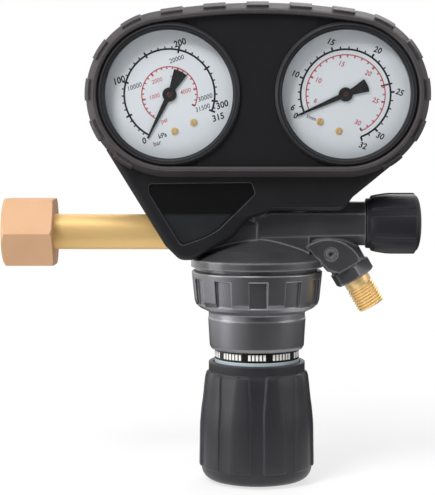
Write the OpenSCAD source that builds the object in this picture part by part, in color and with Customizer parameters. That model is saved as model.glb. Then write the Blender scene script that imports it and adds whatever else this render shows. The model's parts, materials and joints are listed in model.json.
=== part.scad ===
/* [Layout] */
// Distance from the mouth of the inlet nut to the regulator axis
inlet_reach = 115; // [113:1:122]
// Distance between the two gauge axes
gauge_spacing = 78; // [77:0.5:82]
// Height of the gauge axes above the inlet axis
gauge_height = 62; // [61:0.5:65]
// Height of the valve arm axis above the inlet axis
arm_height = 4; // [3:0.5:5]

/* [Inlet] */
// Width of the inlet nut across its flats
nut_flats = 30; // [28:0.5:32]
// Length of the inlet nut
nut_length = 23; // [22:0.5:26]
// Core radius of the cylinder valve thread in the nut
nut_thread_r = 9.75; // [9.6:0.05:10.2]
// Length of the thread in the nut
nut_thread_length = 13; // [11:0.5:13]
// Outer radius of the inlet tube
tube_r = 8; // [7.5:0.25:8.5]
// Bore radius of the inlet tube
tube_bore_r = 4; // [3:0.25:4.5]

/* [Body] */
// Radius of the body flange
flange_r = 30; // [29:0.5:32]
// Thickness of the body flange at its rim
flange_thickness = 3.4; // [3:0.2:5]
// Width of the valve arm across its faces
arm_width = 19.6; // [18.6:0.2:20.6]
// Width of the flat band along the front of the arm
arm_flat = 9.6; // [8:0.4:11]
// Distance from the regulator axis to the end of the valve arm
arm_reach = 48.9; // [47:0.1:52]
// Angle of the outlet below the horizontal
outlet_angle = 59.8; // [56:0.1:63]
// Radius of the outlet thread crests
outlet_thread_r = 6.58; // [6.3:0.02:6.8]
// Length of the outlet thread
outlet_thread_length = 11; // [9:0.5:13]

/* [Bonnet and pressure knob] */
// Radius of the bonnet below its shoulder
bonnet_waist_r = 22; // [21:0.2:23]
// Depth of the recesses round the bonnet
bonnet_recess = 1.4; // [0.8:0.1:2]
// Number of recesses round the bonnet
bonnet_recesses = 11; // [9:1:13]
// Radius of the neck band
neck_r = 19.3; // [18.8:0.1:19.8]
// Distance the pressure knob screws in
knob_travel = 5.6; // [4:0.1:5.8]
// Radius of the pressure knob over its pads at the widest
knob_r = 26.4; // [25.5:0.1:28]
// Length of the pressure knob
knob_length = 54.5; // [52:0.5:60]
// Height of the pads above the knob's own surface
knob_pad = 1.4; // [0.8:0.1:2]
// Number of pads round the pressure knob
knob_pads = 10; // [8:1:12]
// Radius of the adjusting screw
screw_r = 6; // [5:0.5:6]

/* [Shut-off valve] */
// Radius of the shut-off knob over its pads
valve_knob_r = 13.9; // [13:0.1:15]
// Length of the shut-off knob
valve_knob_length = 24.2; // [22:0.2:28]
// Number of pads round the shut-off knob
valve_knob_pads = 6; // [5:1:8]
// Radius of the valve spindle
spindle_r = 3; // [2.5:0.25:3.5]

/* [Gauges] */
// Outer radius of a gauge case
case_r = 31.5; // [31:0.1:31.8]
// Radius of the window over each dial
window_r = 28.2; // [27:0.1:28.6]
// Roll of the supply gauge, counterclockwise
roll_supply = 18.3; // [14:0.1:22]
// Roll of the flow gauge, clockwise
roll_flow = 21; // [16:0.1:24]
// Width of the square on a gauge stem
stem_square = 14; // [12:0.5:14]
// Radius of the Bourdon tube's centre line
bourdon_r = 24; // [23.5:0.1:25]
// Module of the movement's teeth
tooth_module = 0.3; // [0.28:0.01:0.32]
// Number of teeth on the pinion
pinion_teeth = 15; // [14:1:16]
// Number of teeth on the whole circle of the sector
sector_teeth = 105; // [98:1:112]

/* [Housing] */
// Radius of the bumper round a gauge axis
bumper_r = 37; // [36.5:0.1:39]
// Rise of the bumper's arched top above a straight line
arch_rise = 3.25; // [2.5:0.25:4.5]
// Thickness of the bumper's side wall
bumper_wall = 3.2; // [2.6:0.1:3.6]
// Height of the pads on the bumper
bumper_pad = 0.6; // [0.4:0.1:1]
// Distance between the pads on the bumper
bumper_pitch = 19; // [16:0.5:22]
// Length of each pad on the bumper
bumper_pad_length = 9.8; // [7:0.2:12]
// Thickness of the housing walls
shell_wall = 2.2; // [1.6:0.1:2.4]
// Depth of the label field
label_recess = 1.5; // [0.8:0.1:1.6]

/* [Hidden] */

// Overshoot of a cut beyond the face it starts from
cut = 1;
// Gap between pieces that are screwed or pressed together
seat_gap = 0.05;
// Radial clearance of the bonnet's large thread
spigot_gap = 0.1;
// Radial clearance of a running fit
running_gap = 0.05;
// Gap between pieces that move past each other
clear_gap = 0.3;
// Sides of turned surfaces
round_fn = 64;
// Sides of round surfaces in the moulded shells
shell_fn = 48;

// Inlet nut and stem, along the inlet axis
nut_corner_r = nut_flats / 2 / cos(30);
nut_chamfer = 2.4;
nut_shoulder_x = nut_length - 5;
collar_x = nut_shoulder_x - clear_gap;
collar_length = 3.1;
collar_r = nut_thread_r - 0.35;
seal_thickness = 1.5;
seal_x = collar_x - collar_length - seal_thickness;
filter_r = tube_bore_r + 1.5;
filter_length = 13;
boss_reach = 36;
stem_thread_r = tube_r - 1.5;
stem_thread_length = 12;
stem_end_x = inlet_reach - boss_reach + stem_thread_length;

// Body, heights from the inlet axis
dome_top_z = -2.2;
dome_top_r = 10;
dome_mid_r = 22.5;
dome_mid_z = -7.7;
flange_top_z = -12.2;
flange_bottom_z = flange_top_z - flange_thickness;
flange_edge = 1.5;
groove_depth = 1.7;
groove_r = flange_r - 2.4;
bonnet_top_z = flange_bottom_z - groove_depth;
spigot_r = 25;
spigot_bottom_z = bonnet_top_z - 4.7;
core_r = arm_width / 2;
core_top_z = 13.5;
boss_r = 11;
chamber_r = 20.5;
chamber_top_z = -13;
high_chamber_r = 5.6;
high_chamber_top_z = 7.5;
seat_r = 7;
seat_top_z = -6;
orifice_r = 1.7;
lip_z = seat_top_z + 0.8;

// Diaphragm stack and spring
diaphragm_thickness = 0.8;
diaphragm_rise = 1.6;
rim_z = spigot_bottom_z - diaphragm_thickness;
slip_thickness = 1.2;
bonnet_seat_z = rim_z - slip_thickness;
plate_r = 15;
plate_thickness = 2.4;
plate_top_z = rim_z + diaphragm_rise - seat_gap;
plate_bottom_z = plate_top_z - plate_thickness;
wire_r = 1.6;
spring_r = 12.6;
seat_plate_z = plate_bottom_z - 16.4;
seat_plate_thickness = 4;
ball_r = 2.5;
ball_z = seat_plate_z - seat_plate_thickness + 2.3 - ball_r;
screw_top_z = ball_z - 1.2;

// Bonnet, neck and knob
bonnet_r = flange_r - 0.2;
bonnet_rim_length = 13.4;
bonnet_length = 35.7;
bonnet_rim_z = bonnet_top_z - bonnet_rim_length;
bonnet_low_r = bonnet_r - 1.3;
shoulder_z = bonnet_rim_z - 5.6;
bonnet_bottom_z = bonnet_top_z - bonnet_length;
cavity_r = 16.8;
bush_flange_z = bonnet_bottom_z + 4;
bush_r = screw_r + 2.5;
neck_length = 9;
neck_core_r = neck_r - 1.8;
band_length = 4.6;
knob_top_z = bonnet_bottom_z - knob_travel - 0.4;
knob_bottom_z = knob_top_z - knob_length;
knob_collar_r = neck_r + 2.7;
knob_collar_length = 4.6;
knob_bore_r = neck_r + 0.5;
knob_floor_z = bonnet_bottom_z - neck_length - knob_travel - 1.4;
knob_round = 7;
drive_flats = 9;
drive_top_z = knob_floor_z - 1;
nut_recess_z = knob_bottom_z + 16;
knob_nut_height = 6;
cap_r = 17;
cap_thickness = 3;

// Shut-off valve, along the arm axis from the regulator axis
valve_x = 30.5;
valve_seat_x = 26;
pad_thickness = 2;
gland_x = 38;
gland_r = 7.2;
valve_knob_x = arm_reach + clear_gap;
valve_collar_length = 2.3;
valve_collar_r = valve_knob_r - 2.3;
valve_knob_pad = 0.9;

// Outlet, along its own axis from the crossing with the arm axis
outlet_collar_t = 22.4;
outlet_collar_length = 6.4;
outlet_collar_flats = 17;
outlet_shoulder = 3.7;
outlet_bore_r = 3.5;
outlet_root_r = 6.5;
plug_x = 33.3;
plug_z = -9.5;
plug_r = 2.7;
plug_depth = 3;

// Relief valve on the back of the arm
relief_x = 20;
relief_boss_r = 5.6;
relief_boss_y = 14;
relief_cap_length = 10;

// Gauge depths, from the plane of the stems towards the viewer
case_back = -10;
case_front = 20;
case_wall = 1.4;
lens_thickness = 2;
dial_depth = 15;
dial_thickness = 0.6;
plate_back = 3.8;
plate_front = 11;
plate_gauge = 1.2;
port_drop = 18;
stem_end = gauge_height - port_drop;
stem_thread = 10;
gauge_thread_r = 6.4;
port_r = 9;
pivot_angle = -40;
gear_play = 0.04;
pinion_pitch_r = tooth_module * pinion_teeth / 2;
sector_pitch_r = tooth_module * sector_teeth / 2;
gear_distance = pinion_pitch_r + sector_pitch_r + gear_play;
arbor_r = 0.75;
tail_angle = 20;
tail_length = 6;
tip_angle = 20;
pointer_rest = -135;
dial_post_r = 16.8;
dial_post_spread = 16;
dial_post_skew = 5.5;

// Housing depths, from the plane of the stems towards the viewer
panel_depth = 22;
skirt_depth = 18.5;
bead_depth = 26;
ring_depth = 24.8;
bezel_spigot = 0.8;
shell_split = -8;
cover_back = -16;
shell_r = bumper_r - bumper_wall;
shell_bore_r = case_r + clear_gap;
arch_drop = (pow(gauge_spacing / 2, 2) - pow(arch_rise, 2)) / (2 * arch_rise);
arch_half = atan(gauge_spacing / 2 / arch_drop);
arch_shift = arch_rise + arch_drop;

// The skirt's outline, from the left end arc round the foot to the right end arc
skirt_left_angle = 220.8;
skirt_right_angle = -55.2;
skirt_r = bumper_r + 0.4;
skirt_top_z = gauge_height - 20;
skirt_corners = [
    [-gauge_spacing / 2 + skirt_r * cos(skirt_left_angle), gauge_height + skirt_r * sin(skirt_left_angle)],
    [-41.1, -5.1],
    [-34.5, -11.7],
    [-29, -11.7],
    [-10.6, -1.4],
    [-5.2, 6.4],
    [6.6, 10.3],
    [38.3, 10.3],
    [42.2, 16.4],
    [gauge_spacing / 2 + skirt_r * cos(skirt_right_angle), gauge_height + skirt_r * sin(skirt_right_angle)],
    [gauge_spacing / 2 - 5, skirt_top_z],
    [-gauge_spacing / 2 + 5, skirt_top_z]];
skirt_rounds = [0, 6, 5, 5, 6, 6, 6, 6, 6, 0, 0, 0];

// The label field, and the line that its black plate ends at
label_corners = [
    [-48.4, 22.4],
    [-48, 18.2],
    [-33.9, -5.1],
    [-23.3, -1.4],
    [-16.7, 2.4],
    [-0.9, 18.2],
    [-2.6, 23]];
label_rounds = [1.5, 2, 2, 5, 5, 2, 1.5];
plate_line_z = 8.9;
label_plate_thickness = 0.6;

// Colours, as the photograph shows them
brass_colour = [0.85, 0.66, 0.36];
coat_colour = [0.16, 0.16, 0.17];
black_colour = [0.11, 0.11, 0.12];
rubber_colour = [0.2, 0.2, 0.21];
steel_colour = [0.7, 0.7, 0.72];
bonnet_colour = [0.32, 0.32, 0.34];
dial_colour = [0.86, 0.88, 0.89];

// One arc of a rounded corner at b, between a and c
function corner_arc(a, b, c, r, n) =
    let (u = (a - b) / norm(a - b), v = (c - b) / norm(c - b))
    let (half = acos(max(-1, min(1, u * v))) / 2)
    let (reach = min(r / tan(half), norm(a - b) * 0.49, norm(c - b) * 0.49))
    let (rr = reach * tan(half), w = (u + v) / norm(u + v), m = b + w * rr / sin(half))
    let (p = b + u * reach - m, q = b + v * reach - m)
    let (turn = 180 - 2 * half, way = p[0] * q[1] - p[1] * q[0] > 0 ? 1 : -1)
    [for (i = [0:n]) let (t = way * turn * i / n)
        m + [p[0] * cos(t) - p[1] * sin(t), p[0] * sin(t) + p[1] * cos(t)]];

// A closed outline with rounded corners
function rounded(points, radii, n = 4) =
    let (k = len(points))
    [for (i = [0:k - 1]) each radii[i] > 0
        ? corner_arc(points[(i + k - 1) % k], points[i], points[(i + 1) % k], radii[i], n)
        : [points[i]]];

// A counterclockwise outline moved inwards by d
function inset(points, d) =
    let (k = len(points))
    [for (i = [0:k - 1])
        let (a = points[i] - points[(i + k - 1) % k], b = points[(i + 1) % k] - points[i])
        let (m = [-a[1], a[0]] / norm(a), n = [-b[1], b[0]] / norm(b))
        points[i] + d * (m + n) / (1 + m * n)];

// The rounded oblong round both gauges, at a radius from the gauge axes
function oblong(r) = concat(
    [for (i = [0:5]) let (a = 90 - arch_half + 2 * arch_half * i / 5)
        [(r + arch_shift) * cos(a), gauge_height - arch_drop + (r + arch_shift) * sin(a)]],
    [for (i = [1:24]) let (a = 90 + arch_half + (180 - arch_half) * i / 24)
        [-gauge_spacing / 2 + r * cos(a), gauge_height + r * sin(a)]],
    [for (i = [0:23]) let (a = -90 + (180 - arch_half) * i / 24)
        [gauge_spacing / 2 + r * cos(a), gauge_height + r * sin(a)]]);

// A spring's centre line point at a share of its length
function coil_point(r, z0, z1, turns, t) =
    let (a = 360 * turns * t)
    [r * cos(a), r * sin(a), z0 + (z1 - z0) * t];

// One flank angle of a tooth at radius q
function flank(half, base_r, q) =
    let (a = acos(min(1, base_r / max(q, base_r))), a0 = 20)
    half + (tan(a0) - a0 * PI / 180 - tan(a) + a * PI / 180) * 180 / PI;

// The outline of a run of involute teeth, from tooth first to tooth last
function tooth_run(teeth, first, last, root, tip, play) =
    let (pitch_r = tooth_module * teeth / 2, base_r = pitch_r * cos(20))
    let (half = 90 / teeth - play / 2 / pitch_r * 180 / PI)
    let (root_r = pitch_r - root * tooth_module, tip_r = pitch_r + tip * tooth_module)
    let (steps = [root_r, max(root_r, base_r), pitch_r, (pitch_r + tip_r) / 2, tip_r])
    [for (k = [first:last]) let (c = 360 / teeth * k) each concat(
        [for (q = steps) let (a = c - flank(half, base_r, q)) q * [cos(a), sin(a)]],
        [for (j = [4:-1:0]) let (q = steps[j], a = c + flank(half, base_r, q)) q * [cos(a), sin(a)]])];

// Places children on the regulator's vertical axis
module on_axis() {
    translate([inlet_reach, 0, 0])
        children();
}

// Turns children so that their local Z lies along +X
module along_x() {
    rotate([0, 90, 0])
        children();
}

// Places children on the arm axis, with local Z along +X
module on_arm() {
    translate([inlet_reach, 0, arm_height])
        along_x()
            children();
}

// Places children at the outlet, with local Z along the outlet's axis
module on_outlet() {
    translate([inlet_reach + valve_x, 0, arm_height])
        rotate([0, 90 + outlet_angle, 0])
            children();
}

// Places children on the relief valve's axis, with local Z along +Y
module on_relief() {
    translate([inlet_reach + relief_x, 0, arm_height])
        rotate([-90, 0, 0])
            children();
}

// Places flat outlines in the XZ plane, with local Z towards the viewer
module facing() {
    translate([inlet_reach, 0, 0])
        rotate([90, 0, 0])
            children();
}

// Places children on a gauge axis, side -1 left and 1 right, not rolled
module on_gauge(side) {
    facing()
        translate([side * gauge_spacing / 2, gauge_height, 0])
            children();
}

// Places children on a gauge axis and rolls them with the gauge
module in_gauge(side) {
    on_gauge(side)
        rotate([0, 0, side < 0 ? roll_supply : -roll_flow])
            children();
}

// A slab between two depths in front of the stem plane
module slab(low, high) {
    translate([0, 0, low])
        linear_extrude(high - low)
            children();
}

// A solid of revolution about local Z, from radius and height pairs
module turned(points) {
    rotate_extrude($fn = round_fn)
        polygon(points);
}

// A cylinder between two heights
module bar(r, low, high, sides = round_fn) {
    translate([0, 0, low])
        cylinder(r = r, h = high - low, $fn = sides);
}

// A tube between two heights
module pipe(outer, inner, low, high) {
    difference() {
        bar(outer, low, high);
        bar(inner, low - cut, high + cut);
    }
}

// A solid through rings of points, each ring being a list of [x, y, z]
module loft(rings) {
    n = len(rings[0]);
    m = len(rings);
    polyhedron(
        points = [for (r = rings) each r],
        faces = concat(
            [[for (i = [0:n - 1]) i]],
            [for (j = [0:m - 2], i = [0:n - 1])
                [j * n + i, (j + 1) * n + i, (j + 1) * n + (i + 1) % n, j * n + (i + 1) % n]],
            [[for (i = [n - 1:-1:0]) (m - 1) * n + i]]),
        convexity = 6);
}

// A round wire wound into a spring between two heights
module coil(r, wire, low, high, turns) {
    steps = round(turns * 14);
    sides = 6;
    loft([for (i = [0:steps])
        let (t = i / steps, a = 360 * turns * t)
        let (c = coil_point(r, low + wire, high - wire, turns, t))
        [for (k = [0:sides - 1]) let (b = 360 * k / sides)
            c + wire * [cos(a) * cos(b), sin(a) * cos(b), -sin(b)]]]);
}

// The housing's edge profile: pairs of inset and depth for a rounded edge
function round_edge(edge, depth, way) =
    [for (i = [0:4]) let (a = 90 * i / 4) [edge * (1 - cos(a)), depth - way * edge * (1 - sin(a))]];

// The skirt's outline with its corners rounded
function skirt_points() = rounded(skirt_corners, skirt_rounds);

// The skirt as a block with a rounded front edge, from depth low to depth high
module skirt_block(low, high, edge, in) {
    base = inset(skirt_points(), in);
    loft(concat(
        [[for (p = base) [p[0], p[1], low]]],
        [for (e = round_edge(edge, high, 1)) [for (p = inset(base, e[0])) [p[0], p[1], e[1]]]]));
}

// The oblong as exact flat geometry at a radius from the gauge axes
module oblong_flat(r, sides = 64) {
    reach = r + arch_shift + 10;
    for (s = [-1, 1])
        translate([s * gauge_spacing / 2, gauge_height])
            circle(r = r, $fn = sides);
    translate([-gauge_spacing / 2, gauge_height - r])
        square([gauge_spacing, r + 1]);
    intersection() {
        translate([0, gauge_height - arch_drop])
            circle(r = r + arch_shift, $fn = 4 * sides);
        polygon([
            [-gauge_spacing / 2, gauge_height],
            [gauge_spacing / 2, gauge_height],
            [reach * sin(arch_half), gauge_height - arch_drop + reach * cos(arch_half)],
            [-reach * sin(arch_half), gauge_height - arch_drop + reach * cos(arch_half)]]);
    }
}

// Room for the body, tube and arm inside the housing
module body_room() {
    half = arm_width / 2 + 0.7;
    along_x()
        bar(tube_r + 0.5, nut_length, inlet_reach, 32);
    along_x()
        bar(boss_r + 1.4, inlet_reach - boss_reach - 1, inlet_reach, 32);
    on_arm()
        translate([-half, -half, -16])
            cube([2 * half, 2 * half, arm_reach + 40]);
    on_axis()
        rotate_extrude($fn = shell_fn)
            polygon([[0, dome_top_z + 1.5], [dome_top_r, dome_top_z + 1], [dome_mid_r, dome_mid_z + 1],
                [flange_r + 0.8, flange_top_z + 1.4], [flange_r + 0.8, flange_bottom_z - 4],
                [0, flange_bottom_z - 4]]);
}

// The valve arm, an eight-sided bar whose upper corner rounds down to the dome
module arm() {
    half = arm_width / 2;
    flat = arm_flat / 2;
    hull() {
        for (w = [[half, flat], [flat, half]])
            facing()
                slab(-w[0], w[0])
                    polygon([
                        [arm_reach, arm_height - w[1]],
                        [arm_reach, arm_height + w[1]],
                        [6.2, arm_height + w[1]],
                        [0, arm_height + w[1] - 2.2],
                        [-6, arm_height + w[1] - 6],
                        [-9.8, arm_height + w[1] - 11],
                        [-9.8, arm_height - w[1]]]);
    }
}

// The web that joins the arm to the dome
module arm_root() {
    facing()
        slab(-arm_width / 2 + 0.2, arm_width / 2 - 0.2)
            polygon([
                [2, arm_height],
                [23.5, arm_height],
                [23.5, dome_mid_z - 2],
                [2, dome_top_z - 3]]);
}

// The outlet boss, flat in front, with a rounded crown on the arm
module outlet_boss() {
    half = arm_width / 2;
    hull() {
        for (w = [[half, 0], [half - 3.6, 3.2]])
            facing()
                slab(-w[0], w[0])
                    intersection() {
                        translate([32, -19])
                            circle(r = 16.2 + w[1] * 0.4, $fn = 48);
                        polygon([
                            [19, 0],
                            [45.2 + w[1] * 0.6, 0],
                            [45.8 + w[1] * 0.7, -12.6],
                            [39.4 + w[1] * 0.7, -18.6 - w[1] * 0.5],
                            [32 - w[1] * 0.1, -16.6 - w[1] * 0.3],
                            [22, -6]]);
                    }
    }
    on_outlet()
        bar(outlet_collar_flats / 2, 6, outlet_collar_t);
}

// The black coated body with its chambers, passages and threads
module regulator_body() {
    color(coat_colour)
        difference() {
            union() {
                on_axis()
                    turned([[0, dome_top_z], [dome_top_r, dome_top_z - 0.8], [dome_mid_r, dome_mid_z],
                        [flange_r - flange_edge, flange_top_z + 1.1], [flange_r, flange_top_z],
                        [flange_r, flange_bottom_z], [groove_r, flange_bottom_z],
                        [groove_r, bonnet_top_z], [spigot_r, bonnet_top_z],
                        [spigot_r, spigot_bottom_z], [0, spigot_bottom_z]]);
                on_axis()
                    bar(core_r, dome_mid_z, core_top_z);
                along_x()
                    bar(boss_r, inlet_reach - boss_reach, inlet_reach);
                arm();
                arm_root();
                outlet_boss();
                for (s = [-1, 1])
                    in_gauge(s)
                        rotate([90, 0, 0])
                            bar(port_r, stem_end + seat_gap, gauge_height + 4);
                on_relief()
                    bar(relief_boss_r, 0, relief_boss_y);
            }
            on_axis()
                bar(chamber_r, spigot_bottom_z - cut, chamber_top_z);
            on_axis()
                bar(seat_r, chamber_top_z - cut, seat_top_z);
            on_axis()
                bar(high_chamber_r, seat_top_z - cut, high_chamber_top_z);
            along_x()
                bar(tube_bore_r, inlet_reach - boss_reach, inlet_reach);
            along_x()
                bar(stem_thread_r + seat_gap, inlet_reach - boss_reach - cut, stem_end_x + 1);
            for (s = [-1, 1])
                in_gauge(s)
                    rotate([90, 0, 0]) {
                        bar(gauge_thread_r + seat_gap, stem_end - cut, stem_end + stem_thread + 1);
                        bar(1.8, stem_end, gauge_height);
                    }
            translate([inlet_reach + 15.5, 0, 0])
                bar(1.8, chamber_top_z - cut, arm_height);
            on_arm() {
                bar(2.5, 14, valve_seat_x + cut);
                bar(5, valve_seat_x, gland_x + cut);
                bar(gland_r + seat_gap, gland_x, arm_reach + cut);
            }
            on_outlet() {
                bar(outlet_bore_r, 0, outlet_collar_t + cut);
                bar(outlet_root_r + seat_gap, outlet_collar_t - 8, outlet_collar_t + cut);
                bar(outlet_collar_flats, outlet_collar_t, outlet_collar_t + 8);
            }
            facing()
                translate([plug_x, plug_z, 0])
                    bar(plug_r + seat_gap, arm_width / 2 - plug_depth, arm_width / 2 + cut);
            on_relief() {
                bar(1.5, 0, relief_boss_y + cut);
                bar(3.6, relief_boss_y - 4, relief_boss_y + cut);
            }
        }
}

// The brass inlet tube with the collar that the nut pulls on
module inlet_stem() {
    color(brass_colour)
        along_x()
            difference() {
                union() {
                    bar(collar_r, collar_x - collar_length, collar_x);
                    bar(tube_r, collar_x - cut, inlet_reach - boss_reach - seat_gap);
                    bar(stem_thread_r, collar_x, stem_end_x);
                }
                bar(tube_bore_r, 0, stem_end_x + cut);
                bar(filter_r, 0, collar_x - collar_length + filter_length + 1);
            }
}

// The hexagonal union nut, chamfered at both ends
module inlet_nut() {
    color(brass_colour)
        along_x()
            difference() {
                intersection() {
                    bar(nut_corner_r, 0, nut_length, 6);
                    turned([[0, 0], [nut_corner_r - nut_chamfer, 0], [nut_corner_r + 0.2, nut_chamfer * 0.7],
                        [nut_corner_r + 0.2, nut_length - 1], [nut_corner_r - 1.2, nut_length],
                        [0, nut_length]]);
                }
                bar(nut_thread_r, -cut, nut_thread_length);
                bar(nut_thread_r + 0.5, nut_thread_length - 0.01, nut_shoulder_x);
                bar(tube_r + running_gap, nut_shoulder_x - cut, nut_length + cut);
            }
}

// The sintered filter, a thimble in the mouth of the stem
module inlet_filter() {
    low = collar_x - collar_length + 0.4;
    color([0.72, 0.52, 0.3])
        along_x()
            difference() {
                bar(filter_r - seat_gap, low, low + filter_length);
                bar(filter_r - 2, low + 2, low + filter_length + cut);
            }
}

// The seal washer in front of the stem's collar
module inlet_seal() {
    color([0.85, 0.85, 0.8])
        along_x()
            pipe(collar_r - 0.4, filter_r, seal_x, seal_x + seal_thickness - seat_gap);
}

// The screwed-in nozzle that the poppet closes
module valve_seat() {
    color(brass_colour)
        on_axis()
            difference() {
                union() {
                    bar(seat_r - seat_gap, chamber_top_z, seat_top_z - seat_gap);
                    turned([[0, seat_top_z - 1], [4.4, seat_top_z - 1], [2.6, lip_z], [0, lip_z]]);
                }
                bar(orifice_r, chamber_top_z - cut, lip_z + cut);
                bar(3.4, chamber_top_z - cut, chamber_top_z + 2.5, 6);
            }
}

// The poppet that the inlet pressure and its spring hold down
module valve_poppet() {
    low = lip_z + seat_gap;
    color(brass_colour)
        on_axis()
            turned([[0, low], [3.6, low], [3.6, low + 2], [3, low + 2.6], [1.4, low + 2.6],
                [1.4, low + 8.4], [0, low + 8.4]]);
}

// The light spring above the poppet
module poppet_spring() {
    color(steel_colour)
        on_axis()
            coil(2.3, 0.4, lip_z + 2.6 + 2 * seat_gap, high_chamber_top_z - seat_gap, 5);
}

// The pin that pushes the poppet off its seat
module lift_pin() {
    base = rim_z + diaphragm_rise + diaphragm_thickness + seat_gap;
    color(steel_colour)
        on_axis()
            difference() {
                turned([[0, base], [6, base], [6, base + 1.1], [2.4, base + 1.6], [0.8, base + 3],
                    [0.8, lip_z - 0.02], [0, lip_z - 0.02]]);
                bar(1.5, base - cut, base + 1.2);
            }
}

// The rubber diaphragm, clamped at its rim and dished towards the body
module diaphragm() {
    t = diaphragm_thickness;
    color([0.15, 0.15, 0.15])
        on_axis()
            turned([[1.6, rim_z + diaphragm_rise], [13.6, rim_z + diaphragm_rise], [17, rim_z],
                [spigot_r - 0.2, rim_z], [spigot_r - 0.2, rim_z + t], [16.6, rim_z + t],
                [13.2, rim_z + diaphragm_rise + t], [1.6, rim_z + diaphragm_rise + t]]);
}

// The plate under the diaphragm that the range spring bears on
module diaphragm_plate() {
    stud_top = rim_z + diaphragm_rise + diaphragm_thickness + 1;
    color(steel_colour)
        on_axis()
            turned([[0, plate_bottom_z - 2], [9.4, plate_bottom_z - 2], [10.2, plate_bottom_z],
                [plate_r, plate_bottom_z], [plate_r, plate_top_z - 1.8], [13, plate_top_z],
                [1.4, plate_top_z], [1.4, stud_top], [0, stud_top]]);
}

// The slip ring between the diaphragm and the bonnet
module slip_ring() {
    color(steel_colour)
        on_axis()
            pipe(spigot_r - 0.2, chamber_r + 0.5, bonnet_seat_z, rim_z);
}

// The range spring between the plate and the spring seat
module range_spring() {
    color(steel_colour)
        on_axis()
            coil(spring_r, wire_r, seat_plate_z + seat_gap, plate_bottom_z - seat_gap, 3.5);
}

// The seat that the adjusting screw pushes up through the ball
module spring_seat() {
    low = seat_plate_z - seat_plate_thickness;
    color(steel_colour)
        on_axis()
            difference() {
                turned([[0, low], [13.4, low], [14.4, low + 1], [14.4, seat_plate_z], [10.2, seat_plate_z],
                    [9.4, seat_plate_z + 2.4], [0, seat_plate_z + 2.4]]);
                bar(ball_r + seat_gap, low - cut, ball_z + ball_r);
            }
}

// The steel ball between the screw and the spring seat
module thrust_ball() {
    color(steel_colour)
        on_axis()
            translate([0, 0, ball_z])
                sphere(r = ball_r - 0.01, $fn = 32);
}

// The bonnet, with recesses round its rim and a neck for the marking band
module bonnet() {
    recess_step = 360 / bonnet_recesses;
    recess_turn = recess_step / 2;
    color(bonnet_colour)
        on_axis()
            difference() {
                turned([[0, bonnet_top_z - seat_gap], [bonnet_r - 0.6, bonnet_top_z - seat_gap],
                    [bonnet_r, bonnet_top_z - 0.7], [bonnet_low_r, bonnet_rim_z],
                    [bonnet_low_r - 0.7, bonnet_rim_z - 2], [bonnet_low_r - 2.6, bonnet_rim_z - 3.6],
                    [bonnet_waist_r + 1.4, bonnet_rim_z - 4.8], [bonnet_waist_r, shoulder_z],
                    [bonnet_waist_r, shoulder_z - 2.5], [bonnet_waist_r + 0.3, shoulder_z - 2.8],
                    [bonnet_waist_r - 0.4, bonnet_bottom_z + 1.4], [bonnet_waist_r - 1.2, bonnet_bottom_z],
                    [neck_core_r, bonnet_bottom_z], [neck_core_r, bonnet_bottom_z - neck_length],
                    [0, bonnet_bottom_z - neck_length]]);
                bar(spigot_r + spigot_gap, bonnet_seat_z, bonnet_top_z + cut);
                bar(chamber_r, bonnet_seat_z - 6, bonnet_seat_z + cut);
                bar(cavity_r, bush_flange_z, bonnet_seat_z);
                bar(bush_r + seat_gap, bonnet_bottom_z - neck_length - cut, bush_flange_z + cut);
                for (i = [0:bonnet_recesses - 1])
                    rotate([0, 0, -89 + recess_step * i])
                        rotate_extrude(angle = recess_turn, start = -recess_turn / 2, $fn = round_fn)
                            polygon([[bonnet_low_r - bonnet_recess, bonnet_rim_z - 1.8],
                                [bonnet_r + 2, bonnet_rim_z - 1.8], [bonnet_r + 2, bonnet_top_z - 3.3],
                                [bonnet_r - bonnet_recess - 0.2, bonnet_top_z - 3.3]]);
            }
}

// The threaded bush in the bonnet that carries the adjusting screw
module screw_bush() {
    color(brass_colour)
        on_axis()
            difference() {
                union() {
                    bar(bush_r + 2.5, bush_flange_z + seat_gap, bush_flange_z + 2.4);
                    bar(bush_r, bonnet_bottom_z - neck_length + 2, bush_flange_z + 1);
                }
                bar(screw_r + running_gap, bonnet_bottom_z - neck_length, bush_flange_z + 4);
            }
}

// The black band under the bonnet
module neck_band() {
    color(black_colour)
        on_axis()
            pipe(neck_r, neck_core_r + seat_gap, bonnet_bottom_z - band_length, bonnet_bottom_z - seat_gap);
}

// The pale marking ring below the band
module marking_ring() {
    color([0.75, 0.78, 0.76])
        on_axis()
            pipe(neck_r, neck_core_r + seat_gap, bonnet_bottom_z - neck_length,
                bonnet_bottom_z - band_length - seat_gap);
}

// The pressure knob's outline at a height above its own surface
function knob_profile(lift, top) =
    let (r0 = knob_collar_r - knob_pad + lift, r1 = knob_r - 1.1 - knob_pad + lift)
    let (r2 = knob_r - knob_pad + lift, z2 = knob_bottom_z + knob_round)
    concat([[0, top], [r0 + 0.2, top], [r1, knob_top_z - 26], [r2, z2]],
        [for (i = [1:5]) let (a = 18 * i)
            [r2 - knob_round * (1 - cos(a)), z2 - (knob_round - knob_pad + lift) * sin(a)]],
        [[0, z2 - knob_round + knob_pad - lift]]);

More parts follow.
